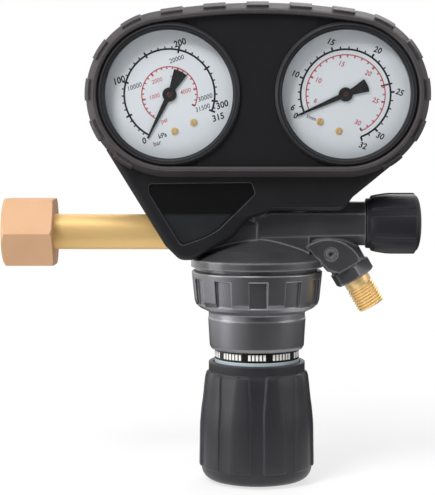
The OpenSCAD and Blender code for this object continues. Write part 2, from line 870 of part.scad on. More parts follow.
// The pressure knob, with long tapering pads and a plain collar
module pressure_knob() {
    pad_top = knob_top_z - knob_collar_length;
    color(black_colour)
        on_axis()
            difference() {
                union() {
                    bar(knob_collar_r, pad_top, knob_top_z);
                    turned(knob_profile(0, pad_top + 0.5));
                    difference() {
                        turned(knob_profile(knob_pad, pad_top));
                        for (i = [0:knob_pads - 1])
                            rotate([0, 0, -88 + 360 / knob_pads * (i + 0.5)])
                                rotate([90, 0, 90])
                                    translate([0, 0, knob_collar_r - knob_pad - 4])
                                        linear_extrude(knob_pad + 12)
                                            polygon([[-3.8, pad_top + cut], [3.8, pad_top + cut],
                                                [2.8, pad_top - 20], [2.6, knob_bottom_z - 4],
                                                [-2.6, knob_bottom_z - 4], [-2.8, pad_top - 20]]);
                    }
                }
                bar(knob_bore_r, knob_floor_z, knob_top_z + cut);
                bar(drive_flats / 2 / cos(30) + seat_gap, knob_bottom_z, knob_floor_z + cut, 6);
                bar(screw_r + seat_gap, drive_top_z, knob_floor_z + cut);
                bar(9, knob_bottom_z + cap_thickness - 0.5, nut_recess_z);
                bar(cap_r + seat_gap, knob_bottom_z - cut, knob_bottom_z + cap_thickness);
            }
}

// The adjusting screw, with a hexagon that drives it and a threaded end
module adjusting_screw() {
    color(steel_colour)
        on_axis()
            difference() {
                union() {
                    bar(screw_r, drive_top_z + seat_gap, screw_top_z);
                    bar(drive_flats / 2 / cos(30), nut_recess_z, drive_top_z + cut, 6);
                    bar(4, nut_recess_z - knob_nut_height - 3, nut_recess_z + cut);
                }
                bar(ball_r + clear_gap, ball_z - ball_r - clear_gap, screw_top_z + cut);
            }
}

// The nut that holds the knob on the screw
module knob_nut() {
    top = nut_recess_z - seat_gap;
    color(steel_colour)
        on_axis()
            difference() {
                bar(6.5 / cos(30), top - knob_nut_height, top, 6);
                bar(4 + seat_gap, top - knob_nut_height - cut, top + cut);
            }
}

// The cap that closes the knob's end
module knob_cap() {
    color(black_colour)
        on_axis() {
            turned([[0, knob_bottom_z - 0.4], [cap_r - 2, knob_bottom_z - 0.4],
                [cap_r, knob_bottom_z + 0.2], [cap_r, knob_bottom_z + cap_thickness - seat_gap],
                [0, knob_bottom_z + cap_thickness - seat_gap]]);
        }
}

// The hexagonal collar that locks the outlet nipple
module outlet_collar() {
    high = outlet_collar_t + outlet_collar_length;
    corner_r = outlet_collar_flats / 2 / cos(30);
    color(coat_colour)
        on_outlet()
            difference() {
                intersection() {
                    rotate([0, 0, 18])
                        bar(corner_r, outlet_collar_t + seat_gap, high, 6);
                    turned([[0, outlet_collar_t], [corner_r - 0.7, outlet_collar_t],
                        [corner_r + 0.2, outlet_collar_t + 0.7], [corner_r + 0.2, high - 1],
                        [corner_r - 1.4, high], [0, high]]);
                }
                bar(outlet_root_r + seat_gap, outlet_collar_t - cut, high + cut);
            }
}

// The brass outlet nipple with its threaded end
module outlet_nipple() {
    low = outlet_collar_t - 7.5;
    shoulder = outlet_collar_t + outlet_collar_length;
    high = shoulder + outlet_shoulder + outlet_thread_length;
    color(brass_colour)
        on_outlet()
            difference() {
                turned([[0, low], [outlet_root_r, low], [outlet_root_r, shoulder],
                    [outlet_thread_r - 0.5, shoulder], [outlet_thread_r - 0.5, shoulder + outlet_shoulder],
                    [outlet_thread_r, shoulder + outlet_shoulder + 0.3], [outlet_thread_r, high - 0.7],
                    [outlet_thread_r - 0.8, high], [0, high]]);
                bar(outlet_bore_r, low - cut, high + cut);
                turned([[0, high - 2.6], [outlet_bore_r - 0.2, high - 2.6],
                    [outlet_bore_r + 1.5, high + 0.01], [0, high + 0.01]]);
            }
}

// The round plug that closes the drilled channel in the boss
module channel_plug() {
    low = arm_width / 2 - plug_depth + 2 * seat_gap;
    high = arm_width / 2 + 0.5;
    color(coat_colour)
        facing()
            translate([plug_x, plug_z, 0])
                difference() {
                    turned([[0, low], [plug_r, low], [plug_r, high - 0.5],
                        [plug_r - 0.5, high], [0, high]]);
                    bar(1.3, high - 1.4, high + cut, 6);
                }
}

// The valve spindle, with a flange that carries the pad
module shutoff_spindle() {
    low = valve_seat_x + clear_gap + pad_thickness;
    high = valve_knob_x + valve_knob_length - 6;
    color(brass_colour)
        on_arm() {
            difference() {
                union() {
                    bar(4.6, low - 1, low + 2);
                    bar(spindle_r, low, high - 8);
                    bar(spindle_r * 0.9, high - 9, high, 4);
                }
                bar(3.6, low - 1 - cut, low);
                bar(1.25, high - 6, high + cut);
            }
        }
}

// The soft pad that closes the orifice
module shutoff_pad() {
    low = valve_seat_x + clear_gap;
    color([0.8, 0.78, 0.7])
        on_arm()
            bar(3.6 - seat_gap, low, low + pad_thickness - seat_gap);
}

// The gland that is screwed into the end of the arm
module shutoff_gland() {
    color(brass_colour)
        on_arm()
            pipe(gland_r, spindle_r + running_gap, gland_x + seat_gap, arm_reach - 0.2);
}

// The shut-off knob's outline at a height above its own surface
function valve_knob_profile(lift, start) =
    let (low = valve_knob_x + valve_collar_length, high = valve_knob_x + valve_knob_length)
    let (r = valve_knob_r - valve_knob_pad + lift)
    [[0, start], [r - 1.05, start], [r - 0.9, low + 0.4], [r, low + 9], [r, high - 3.1],
        [r - 0.4, high - 1.6], [r - 1.4, high - 0.5], [r - 3, high - valve_knob_pad + lift],
        [0, high - valve_knob_pad + lift]];

// The shut-off knob with its pads and collar
module shutoff_knob() {
    low = valve_knob_x + valve_collar_length;
    high = valve_knob_x + valve_knob_length;
    step = 360 / valve_knob_pads;
    color(black_colour)
        on_arm()
            difference() {
                union() {
                    bar(valve_collar_r, valve_knob_x, low + cut);
                    turned(valve_knob_profile(0, low));
                    difference() {
                        turned(valve_knob_profile(valve_knob_pad, low));
                        for (i = [0:valve_knob_pads - 1])
                            rotate([0, 0, step * (i + 0.5) + 85])
                                translate([valve_knob_r - 4, -2.1, low - cut])
                                    cube([8, 4.2, valve_knob_length + 2]);
                    }
                }
                bar(spindle_r + seat_gap, valve_knob_x - cut, high - 14);
                bar(spindle_r * 0.9 + seat_gap, high - 15, high - 6 + cut, 4);
                bar(3.4, high - 5, high + cut);
            }
}

// The screw that holds the shut-off knob on its spindle
module shutoff_screw() {
    high = valve_knob_x + valve_knob_length - valve_knob_pad;
    color(steel_colour)
        on_arm()
            difference() {
                union() {
                    bar(1.2, high - 9.5, high - 3);
                    bar(3.1, high - 4, high - 1.4);
                }
                bar(1.3, high - 2.8, high, 6);
            }
}

// The vented cap of the relief valve
module relief_cap() {
    low = relief_boss_y + seat_gap;
    high = relief_boss_y + relief_cap_length;
    color(brass_colour)
        on_relief()
            difference() {
                turned([[3.5, low - 3.5], [3.5, low], [5.6, low], [5.6, high - 1], [4.6, high], [0, high],
                    [0, high - 2], [2.8, high - 2], [2.8, low - 3.5]]);
                for (a = [0:60:300])
                    rotate([0, 0, a])
                        translate([4, 0, high - 3.4])
                            rotate([0, 90, 0])
                                cylinder(r = 0.8, h = 4, center = true, $fn = 16);
            }
}

// The disc that closes the relief valve's orifice
module relief_disc() {
    low = relief_boss_y - 4 + seat_gap;
    color(brass_colour)
        on_relief()
            turned([[0, low], [2.4, low], [2.4, low + 1.6], [0.9, low + 1.6], [0.9, low + 5], [0, low + 5]]);
}

// The spring behind the relief valve's disc
module relief_spring() {
    low = relief_boss_y - 4 + 1.6 + 2 * seat_gap;
    color(steel_colour)
        on_relief()
            coil(1.75, 0.35, low, relief_boss_y + relief_cap_length - 2 - seat_gap, 5);
}

// The housing screws: place, depth of the wall in front, and the directions of two gussets
function screw_places() = [
    [0, gauge_height + 25, panel_depth, 0, 180],
    [0, gauge_height - 24, panel_depth, 0, 180],
    [-50, gauge_height - 34, skirt_depth, 0, -90],
    [47.5, gauge_height - 36.5, skirt_depth, 45, 180]];

// A gusset beside a screw boss, tapering from the boss to the wall it stands on
module gusset(angle, wall, tall, low, reach) {
    rotate([0, 0, angle])
        hull() {
            translate([0, -0.6, min(wall, tall)])
                cube([3, 1.2, abs(wall - tall)]);
            translate([reach - 1, -0.6, min(wall, low)])
                cube([1, 1.2, abs(wall - low)]);
        }
}

// The front moulding: face with two windows and rings, side wall and skirt
module gauge_housing() {
    color(black_colour)
        difference() {
            union() {
                difference() {
                    union() {
                        facing()
                            slab(shell_split, panel_depth)
                                oblong_flat(shell_r, shell_fn);
                        facing()
                            skirt_block(shell_split, skirt_depth, 2.8, 0);
                    }
                    facing()
                        slab(shell_split - cut, case_front)
                            oblong_flat(shell_bore_r, shell_fn);
                    facing()
                        skirt_block(shell_split - cut, skirt_depth - shell_wall - 0.8, 0.5, shell_wall);
                }
                for (p = screw_places())
                    facing()
                        translate([p[0], p[1], 0]) {
                            bar(3.2, shell_split + seat_gap, p[2] - 1, 20);
                            gusset(p[3], p[2] - 1, p[2] - 14, p[2] - 4, 7);
                            gusset(p[4], p[2] - 1, p[2] - 14, p[2] - 4, 7);
                        }
            }
            for (s = [-1, 1]) {
                on_gauge(s)
                    bar(window_r + bezel_spigot + seat_gap, 0, panel_depth + cut);
                on_gauge(s)
                    bar(shell_bore_r + 0.2, shell_split - cut, case_front, shell_fn);
            }
            for (p = screw_places())
                facing()
                    translate([p[0], p[1], 0])
                        bar(1.5, shell_split - 2 * cut, p[2] - 6, 16);
            facing()
                slab(skirt_depth - label_recess, skirt_depth + cut)
                    polygon(rounded(label_corners, label_rounds));
            body_room();
            translate([inlet_reach - boss_reach - 1, 2, -16])
                cube([boss_reach, -shell_split - 1, 8]);
        }
}

// The rear moulding, a shallow pan with rounded back edges
module rear_cover() {
    edge = 3.6;
    color(black_colour)
        difference() {
            union() {
                difference() {
                    union() {
                        facing()
                            mirror([0, 0, 1])
                                loft(concat(
                                    [[for (p = oblong(shell_r)) [p[0], p[1], -shell_split]]],
                                    [for (e = round_edge(edge, -cover_back, 1))
                                        [for (p = oblong(shell_r - e[0])) [p[0], p[1], e[1]]]]));
                        facing()
                            mirror([0, 0, 1])
                                skirt_block(-shell_split, -cover_back, edge, 0);
                    }
                    facing()
                        slab(cover_back + shell_wall, shell_split + cut)
                            oblong_flat(shell_bore_r, shell_fn);
                    facing()
                        mirror([0, 0, 1])
                            skirt_block(-shell_split - cut, -cover_back - shell_wall, 1.5, shell_wall);
                }
                for (p = screw_places())
                    facing()
                        translate([p[0], p[1], 0]) {
                            bar(3.4, cover_back + 1, shell_split - seat_gap, 20);
                            gusset(p[3], cover_back + 1, shell_split - 1, cover_back + 4, 7);
                            gusset(p[4], cover_back + 1, shell_split - 1, cover_back + 4, 7);
                        }
            }
            for (p = screw_places())
                facing()
                    translate([p[0], p[1], 0]) {
                        bar(1.7, cover_back - cut, shell_split + cut, 16);
                        bar(3, cover_back - cut, cover_back + 1.4, 20);
                    }
            body_room();
        }
}

// The screws that hold the rear cover
module housing_screws() {
    color(steel_colour)
        for (p = screw_places())
            facing()
                translate([p[0], p[1], 0])
                    difference() {
                        union() {
                            bar(1.45, cover_back + 1, shell_split + 8);
                            bar(2.8, cover_back + 0.3, cover_back + 1.4 - 0.01);
                        }
                        bar(1, cover_back - cut, cover_back + 0.9, 6);
                    }
}

// The bumper's cross section: pairs of radius from the gauge axis and depth
function bumper_section() = [
    [shell_r + seat_gap, shell_split - 1],
    [bumper_r, shell_split - 1],
    [bumper_r, bead_depth - 9],
    [bumper_r - 0.9, bead_depth - 6.4],
    [shell_r + 0.4, bead_depth - 1.4],
    [shell_r - 0.4, bead_depth],
    [shell_r - 1.6, bead_depth - 0.2],
    [shell_r - 2.1, bead_depth - 1],
    [shell_r - 2.1, panel_depth + 0.01],
    [shell_r + seat_gap, panel_depth + 0.01]];

// The pads' cross section, which lies on the sloping band and the side
function pad_section() = [
    [shell_r + 1, shell_split + 3],
    [bumper_r + bumper_pad, shell_split + 3.4],
    [bumper_r + bumper_pad, bead_depth - 8.6],
    [bumper_r - 0.7 + bumper_pad, bead_depth - 6],
    [shell_r + 1.2 + bumper_pad, bead_depth - 1.6],
    [shell_r + 0.9, bead_depth - 2.2]];

// The section swept round the right-hand or left-hand end
module end_sweep(points, side, from, turn) {
    on_gauge(side)
        rotate_extrude(angle = turn, start = from, $fn = 96)
            polygon(points);
}

// The section swept along the arched top
module arch_sweep(points, from, turn) {
    facing()
        translate([0, gauge_height - arch_drop, 0])
            rotate_extrude(angle = turn, start = from, $fn = 360)
                polygon([for (p = points) [p[0] + arch_shift, p[1]]]);
}

// The section run along the straight bottom
module bottom_run(points, from, length) {
    facing()
        translate([from, gauge_height, 0])
            rotate([90, 0, 90])
                linear_extrude(length)
                    polygon([for (p = points) [-p[0], p[1]]]);
}

// The pads, spaced evenly round the bumper from the middle of its top
module bumper_pads() {
    arch_r = bumper_r + arch_shift;
    turn = bumper_pad_length / arch_r * 180 / PI;
    step = bumper_pitch / arch_r * 180 / PI;
    end_turn = bumper_pad_length / bumper_r * 180 / PI;
    end_step = bumper_pitch / bumper_r * 180 / PI;
    arch_pads = floor((arch_half * arch_r * PI / 180 - bumper_pad_length / 2) / bumper_pitch);
    carried = (arch_pads + 1) * bumper_pitch - arch_half * arch_r * PI / 180;
    first = carried / bumper_r * 180 / PI;
    end_pads = floor((140 - first) / end_step);
    for (i = [-arch_pads:arch_pads])
        arch_sweep(pad_section(), 90 - turn / 2 + i * step, turn);
    for (i = [0:end_pads]) {
        end_sweep(pad_section(), 1, 90 - arch_half - first - i * end_step - end_turn / 2, end_turn);
        end_sweep(pad_section(), -1, 90 + arch_half + first + i * end_step - end_turn / 2, end_turn);
    }
}

// The wedge between the two gauge axes, from the centre of the arch, where the arch meets the ends
module arch_wedge() {
    reach = 1.25;
    facing()
        slab(shell_split - 2, bead_depth + cut)
            polygon([
                [0, gauge_height - arch_drop],
                [reach * gauge_spacing / 2, gauge_height + (reach - 1) * arch_drop],
                [-reach * gauge_spacing / 2, gauge_height + (reach - 1) * arch_drop]]);
}

// The rubber bumper ring, cut away where the skirt leaves the housing
module bumper() {
    section = bumper_section();
    color(rubber_colour)
        difference() {
            union() {
                intersection() {
                    arch_sweep(section, 75, 30);
                    arch_wedge();
                }
                difference() {
                    union() {
                        end_sweep(section, -1, 95, 175);
                        end_sweep(section, 1, -90, 175);
                    }
                    arch_wedge();
                }
                bottom_run(section, -gauge_spacing / 2, gauge_spacing);
                bumper_pads();
            }
            facing()
                slab(shell_split - 3, skirt_depth + seat_gap)
                    polygon(inset(skirt_points(), -seat_gap));
        }
}

// The dark panel between the two windows
module centre_panel() {
    color([0.145, 0.145, 0.153])
        facing()
            slab(panel_depth + 0.01, panel_depth + 0.5)
                difference() {
                    intersection() {
                        oblong_flat(shell_r - 2.2);
                        translate([-26, 0])
                            square([52, 200]);
                    }
                    for (s = [-1, 1])
                        translate([s * gauge_spacing / 2, gauge_height])
                            circle(r = window_r + 3.5, $fn = round_fn);
                }
}

// The bare black plate in the upper part of the label field
module label_plate() {
    low = skirt_depth - label_recess + 0.01;
    color([0.07, 0.07, 0.075])
        facing()
            slab(low, low + label_plate_thickness)
                intersection() {
                    polygon(inset(rounded(label_corners, label_rounds), 0.15));
                    translate([-60, plate_line_z])
                        square([80, 40]);
                }
}

// The steel case of a gauge, open to the front, with a slot for its socket
module gauge_case(side) {
    color([0.2, 0.2, 0.21])
        in_gauge(side)
            difference() {
                bar(case_r, case_back, case_front);
                bar(case_r - 1.9, case_back + case_wall, case_front + cut);
                bar(case_r - 1.2, case_front - lens_thickness, case_front + cut);
                translate([-stem_square / 2 - seat_gap, -case_r - cut, -stem_square / 2 - seat_gap])
                    cube([stem_square + 2 * seat_gap, 12, stem_square + 2 * seat_gap]);
            }
}

// The two lenses
module gauge_lenses() {
    color([0.9, 0.95, 0.97, 0.35])
        for (s = [-1, 1])
            in_gauge(s)
                bar(case_r - 1.2 - seat_gap, case_front - lens_thickness + 0.01, case_front - 0.02);
}

// The rings round the windows, each with a spigot pressed into the housing
module window_bezels() {
    color(black_colour)
        for (s = [-1, 1])
            on_gauge(s)
                turned([[window_r, case_front + seat_gap], [window_r + bezel_spigot, case_front + seat_gap],
                    [window_r + bezel_spigot, panel_depth + 0.02], [window_r + 3.4, panel_depth + 0.02],
                    [window_r + 3.2, ring_depth - 0.8], [window_r + 2.2, ring_depth],
                    [window_r + 0.9, ring_depth - 0.3], [window_r, ring_depth - 1.3]]);
}

// The plain dial disc of a gauge
module gauge_dial(side) {
    color(dial_colour)
        in_gauge(side)
            pipe(case_r - 2, 2, dial_depth, dial_depth + dial_thickness);
}

// The pointer of a gauge, drawn pointing up and laid at its zero mark
module gauge_pointer(side) {
    low = dial_depth + dial_thickness + 0.6;
    color([0.05, 0.05, 0.05])
        in_gauge(side)
            rotate([0, 0, -pointer_rest])
                difference() {
                    union() {
                        bar(2.9, low - 0.2, low + 1);
                        slab(low, low + 0.5) {
                            polygon([[-1.1, 0], [1.1, 0], [0.25, window_r * 0.86], [-0.25, window_r * 0.86]]);
                            polygon([[-1.2, 0], [1.2, 0], [3.2, -9.2], [-3.2, -9.2]]);
                        }
                    }
                    bar(arbor_r + 0.01, low - cut, low + 0.8);
                }
}

// The socket of a gauge: inner block, square and threaded stem
module gauge_socket(side) {
    half = stem_square / 2;
    color(brass_colour)
        in_gauge(side) {
            difference() {
                union() {
                    translate([-half, -case_r + 2.2, -half])
                        cube([stem_square, case_r - 15.2, half + plate_back]);
                    translate([-half, -stem_end, -half])
                        cube([stem_square, stem_end - case_r + 4, stem_square]);
                    rotate([90, 0, 0])
                        bar(gauge_thread_r, stem_end - cut, stem_end + stem_thread);
                }
                rotate([90, 0, 0])
                    bar(1.5, 20, stem_end + stem_thread + cut);
            }
        }
}

// The C-shaped Bourdon tube, with a tip block and a short pin for the link
module gauge_bourdon_tube(side) {
    tip = bourdon_r * [cos(tip_angle), sin(tip_angle)];
    sweep = 180 + acos((stem_square / 2 + 0.35) / bourdon_r) - tip_angle - 0.2;
    color(brass_colour)
        in_gauge(side) {
            rotate_extrude(angle = sweep, start = tip_angle, $fn = 96)
                translate([bourdon_r, -1.5]) {
                    square([2, 6], center = true);
                    for (d = [-3, 3])
                        translate([0, d])
                            circle(r = 1, $fn = 24);
                }
            translate([tip[0], tip[1], 0]) {
                bar(2.2, -5.5, 3.2);
                bar(0.7, 3, plate_front - 2.9);
            }
        }
}

// The outline of a movement plate
module plate_outline() {
    polygon(rounded([[-11.5, 7], [4, 7], [17, -6], [17, -15], [11.5, -26], [-11.5, -26]],
        [3, 3, 3, 3, 2, 2]));
}

// The two movement plates with their pillars and the dial's posts
module gauge_movement(side) {
    color(brass_colour)
        in_gauge(side)
            difference() {
                union() {
                    slab(plate_back + seat_gap, plate_back + plate_gauge)
                        plate_outline();
                    slab(plate_front, plate_front + plate_gauge)
                        plate_outline();
                    for (p = [[-9, 4.5], [-9, -20], [9, -22]])
                        translate([p[0], p[1], 0])
                            bar(1.6, plate_back + plate_gauge - 0.1, plate_front + 0.1);
                    for (a = [-dial_post_spread, dial_post_spread])
                        rotate([0, 0, a - side * dial_post_skew])
                            translate([0, -dial_post_r, 0])
                                bar(1.6, plate_front + 1, dial_depth - 0.02);
                }
                bar(arbor_r + running_gap, plate_back - cut, plate_front + 2 * cut);
                rotate([0, 0, pivot_angle])
                    translate([gear_distance, 0, 0])
                        bar(arbor_r + running_gap, plate_back - cut, plate_front + 2 * cut);
            }
}

// The toothed sector with its arbor and the tail that the link pulls
module gauge_sector(side) {
    teeth = tooth_run(sector_teeth, -13, 2, 1.25, 0.8, 0.08);
    hub = 2.6;
    color(brass_colour)
        in_gauge(side)
            rotate([0, 0, pivot_angle])
                translate([gear_distance, 0, 0]) {
                    rotate([0, 0, 180])
                        slab(7, 8)
                            polygon(concat(teeth,
                                [hub * [cos(40), sin(40)], [-1.5, 0], hub * [cos(80), -sin(80)]]));
                    rotate([0, 0, tail_angle - pivot_angle]) {
                        slab(7, 8)
                            translate([0, -1])
                                square([tail_length, 2]);
                        translate([tail_length, 0, 0]) {
                            bar(1.2, 7, 8, 24);
                            bar(0.5, 7.5, 9.6);
                        }
                    }
                    bar(2, 6, 9);
                    bar(arbor_r, plate_back + 0.2, plate_front + plate_gauge - 0.2);
                }
}

// The pinion on the arbor that carries the pointer
module gauge_pinion(side) {
    color(brass_colour)
        in_gauge(side) {
            rotate([0, 0, pivot_angle])
                slab(6.4, 8.6)
                    polygon(tooth_run(pinion_teeth, 0.5, pinion_teeth - 0.5, 1.2, 0.8, 0.08));
            bar(arbor_r, plate_back + 0.2, dial_depth + dial_thickness + 1.3);
        }
}

// The link from the sector's tail up to the tube's tip
module gauge_link(side) {
    hub = gear_distance * [cos(pivot_angle), sin(pivot_angle)];
    pivot = hub + tail_length * [cos(tail_angle), sin(tail_angle)];
    tip = bourdon_r * [cos(tip_angle), sin(tip_angle)];
    reach = norm(tip - pivot);
    swing = atan2(tip[1] - pivot[1], tip[0] - pivot[0]);
    color(steel_colour)
        in_gauge(side)
            translate([pivot[0], pivot[1], 0])
                rotate([0, 0, swing])
                    slab(8.5, 9.2)
                        difference() {
                            union() {
                                translate([0, -0.7])
                                    square([reach, 1.4]);
                                for (x = [0, reach])
                                    translate([x, 0])
                                        circle(r = 1.3, $fn = 24);
                            }
                            circle(r = 0.5 + running_gap, $fn = 24);
                            translate([reach, 0])
                                circle(r = 0.75, $fn = 24);
                        }
}

// The pieces of the supply gauge
module supply_case() { gauge_case(-1); }
module supply_dial() { gauge_dial(-1); }
module supply_pointer() { gauge_pointer(-1); }
module supply_socket() { gauge_socket(-1); }
module supply_bourdon_tube() { gauge_bourdon_tube(-1); }
module supply_movement() { gauge_movement(-1); }
module supply_sector() { gauge_sector(-1); }
module supply_pinion() { gauge_pinion(-1); }
module supply_link() { gauge_link(-1); }

// The pieces of the flow gauge
module flow_case() { gauge_case(1); }
module flow_dial() { gauge_dial(1); }
module flow_pointer() { gauge_pointer(1); }
module flow_socket() { gauge_socket(1); }
module flow_bourdon_tube() { gauge_bourdon_tube(1); }
module flow_movement() { gauge_movement(1); }
module flow_sector() { gauge_sector(1); }
module flow_pinion() { gauge_pinion(1); }
module flow_link() { gauge_link(1); }

regulator_body();
inlet_stem();
inlet_nut();
inlet_filter();
inlet_seal();
valve_seat();
valve_poppet();
poppet_spring();
lift_pin();
diaphragm();
diaphragm_plate();
slip_ring();
range_spring();
spring_seat();
thrust_ball();
bonnet();
screw_bush();
neck_band();
marking_ring();
pressure_knob();
adjusting_screw();
knob_nut();
knob_cap();
outlet_collar();
outlet_nipple();
channel_plug();
shutoff_spindle();
shutoff_pad();
shutoff_gland();
shutoff_knob();
shutoff_screw();
relief_cap();
relief_disc();
relief_spring();
gauge_housing();
rear_cover();
bumper();
centre_panel();
label_plate();
housing_screws();
gauge_lenses();
window_bezels();
supply_case();
supply_dial();
supply_pointer();
supply_socket();
supply_bourdon_tube();
supply_movement();
supply_sector();
supply_pinion();
supply_link();
flow_case();
flow_dial();
flow_pointer();
flow_socket();
flow_bourdon_tube();
flow_movement();
flow_sector();
flow_pinion();
flow_link();
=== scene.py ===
"""Dresses the cylinder regulator: finishes, dials, pointers, knobs, threads and studio."""
import json
import logging
import math
from dataclasses import dataclass
from enum import Enum
from typing import Callable, Sequence

import bmesh
import bpy
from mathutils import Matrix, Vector


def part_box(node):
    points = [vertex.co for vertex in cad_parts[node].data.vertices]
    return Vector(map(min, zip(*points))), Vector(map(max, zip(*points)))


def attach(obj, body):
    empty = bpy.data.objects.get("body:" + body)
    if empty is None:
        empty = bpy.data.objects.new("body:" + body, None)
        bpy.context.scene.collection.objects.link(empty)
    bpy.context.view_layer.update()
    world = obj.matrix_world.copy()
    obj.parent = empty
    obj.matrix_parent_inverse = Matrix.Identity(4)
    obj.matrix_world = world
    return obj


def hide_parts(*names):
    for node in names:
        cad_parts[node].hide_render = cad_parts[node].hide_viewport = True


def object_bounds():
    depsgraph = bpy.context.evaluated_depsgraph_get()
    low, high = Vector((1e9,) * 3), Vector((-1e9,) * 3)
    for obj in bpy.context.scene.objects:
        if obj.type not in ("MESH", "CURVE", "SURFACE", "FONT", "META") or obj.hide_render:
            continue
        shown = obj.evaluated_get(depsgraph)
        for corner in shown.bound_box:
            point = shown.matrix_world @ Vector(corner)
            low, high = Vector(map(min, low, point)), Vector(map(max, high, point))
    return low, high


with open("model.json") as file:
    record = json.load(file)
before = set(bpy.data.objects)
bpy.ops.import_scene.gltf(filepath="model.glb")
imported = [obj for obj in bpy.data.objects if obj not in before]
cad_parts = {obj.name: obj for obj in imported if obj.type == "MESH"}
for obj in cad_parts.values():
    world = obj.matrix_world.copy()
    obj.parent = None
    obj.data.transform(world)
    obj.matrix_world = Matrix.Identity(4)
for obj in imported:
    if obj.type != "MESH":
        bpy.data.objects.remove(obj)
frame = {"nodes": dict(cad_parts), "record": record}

log = logging.getLogger("regulator")
logging.basicConfig(level=logging.INFO, format="%(message)s")

# The pieces' own sizes are in millimetres, as in the part's source, and the scene is in metres.
MM = 0.001
# How far off a whole step a value on a scale still counts as on it.
ROUNDING = 1e-6
# The squared length of a corner's two added normals below which inset() moves it no further.
SHARPEST = 0.8
# The space between the object and the floor, in metres.
FLOOR_GAP = 0.0003
CAD_BOX = [list(corner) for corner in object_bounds()]

Colour = tuple[float, float, float]
Triple = tuple[float, float, float]
# Two sizes that belong together, such as a place along an axis and a radius.
Flat = tuple[float, float]
# A ring of a knob: place along the axis, radius, half pad width and share of the pads' height.
Level = tuple[float, float, float, float]


def tone(red: int, green: int, blue: int) -> Colour:
    """A linear colour from sRGB display values.

    Args:
        red: Red from 0 to 255.
        green: Green from 0 to 255.
        blue: Blue from 0 to 255.

    Returns:
        The colour as three linear values.
    """
    values = []
    for channel in (red, green, blue):
        share = channel / 255
        values.append(share / 12.92 if share <= 0.04045 else ((share + 0.055) / 1.055) ** 2.4)
    return values[0], values[1], values[2]


class NodeBook:
    """Adds nodes to one node tree and links them."""

    def __init__(self, tree: bpy.types.NodeTree) -> None:
        """Keeps the tree that the nodes go to."""
        self.tree = tree

    def add(self, kind: str, **settings: object) -> bpy.types.Node:
        """Adds a node.

        Args:
            kind: The node's type name without its ShaderNode prefix.
            settings: Properties of the node to set.

        Returns:
            The new node.
        """
        node = self.tree.nodes.new("ShaderNode" + kind)
        for name, value in settings.items():
            setattr(node, name, value)
        return node

    def link(self, source: bpy.types.NodeSocket, target: bpy.types.NodeSocket) -> None:
        """Links an output to an input."""
        self.tree.links.new(source, target)

    def feed(self, value: object, target: bpy.types.NodeSocket) -> None:
        """Gives an input its value.

        Args:
            value: A number, a colour, or an output to link.
            target: The input.
        """
        if isinstance(value, bpy.types.NodeSocket):
            self.link(value, target)
        elif isinstance(value, tuple):
            target.default_value = (*value, 1)
        else:
            target.default_value = value

    def maths(self, operation: str, *values: object, clamp: bool = False) -> bpy.types.NodeSocket:
        """Adds a Math node.

        Args:
            operation: The node's operation.
            values: Numbers or outputs, one for each input.
            clamp: Whether the result is kept between 0 and 1.

        Returns:
            The node's output.
        """
        node = self.add("Math", operation=operation, use_clamp=clamp)
        for value, target in zip(values, node.inputs):
            self.feed(value, target)
        return node.outputs[0]

    def blend(self, share: object, first: object, second: object) -> bpy.types.NodeSocket:
        """Adds a colour mix.

        Args:
            share: The share of the second colour, a number or an output.
            first: The first colour, as values or an output.
            second: The second colour, as values or an output.

        Returns:
            The mixed colour's output.
        """
        node = self.add("Mix", data_type="RGBA")
        for place, value in ((0, share), (6, first), (7, second)):
            self.feed(value, node.inputs[place])
        return node.outputs[2]

    def ramp(self, value: bpy.types.NodeSocket, start: float, end: float, low: float, high: float,
             smooth: bool = False) -> bpy.types.NodeSocket:
        """Adds a Map Range node.

        Args:
            value: The output that is mapped.
            start: The value that gives the low result.
            end: The value that gives the high result.
            low: The result at the start.
            high: The result at the end.
            smooth: Whether the result eases in and out.

        Returns:
            The result's output.
        """
        node = self.add("MapRange", interpolation_type="SMOOTHSTEP" if smooth else "LINEAR")
        for name, number in (("From Min", start), ("From Max", end), ("To Min", low),
                             ("To Max", high)):
            node.inputs[name].default_value = number
        self.link(value, node.inputs["Value"])
        return node.outputs["Result"]

    def noise(self, place: bpy.types.NodeSocket, scale: object, detail: float,
              roughness: float = 0.5) -> bpy.types.NodeSocket:
        """Adds a noise texture.

        Args:
            place: The coordinates.
            scale: How fine it is, per metre, a number or an output.
            detail: The octaves of detail.
            roughness: How strongly the fine octaves show.

        Returns:
            The noise's output.
        """
        node = self.add("TexNoise")
        self.link(place, node.inputs["Vector"])
        self.feed(scale, node.inputs["Scale"])
        node.inputs["Detail"].default_value = detail
        node.inputs["Roughness"].default_value = roughness
        return node.outputs["Fac"]


class Effect(Enum):
    """The surface effects that several finishes share."""

    GRAIN = "surface_grain"
    EDGE = "rounded_edge"
    DUST = "settled_dust"


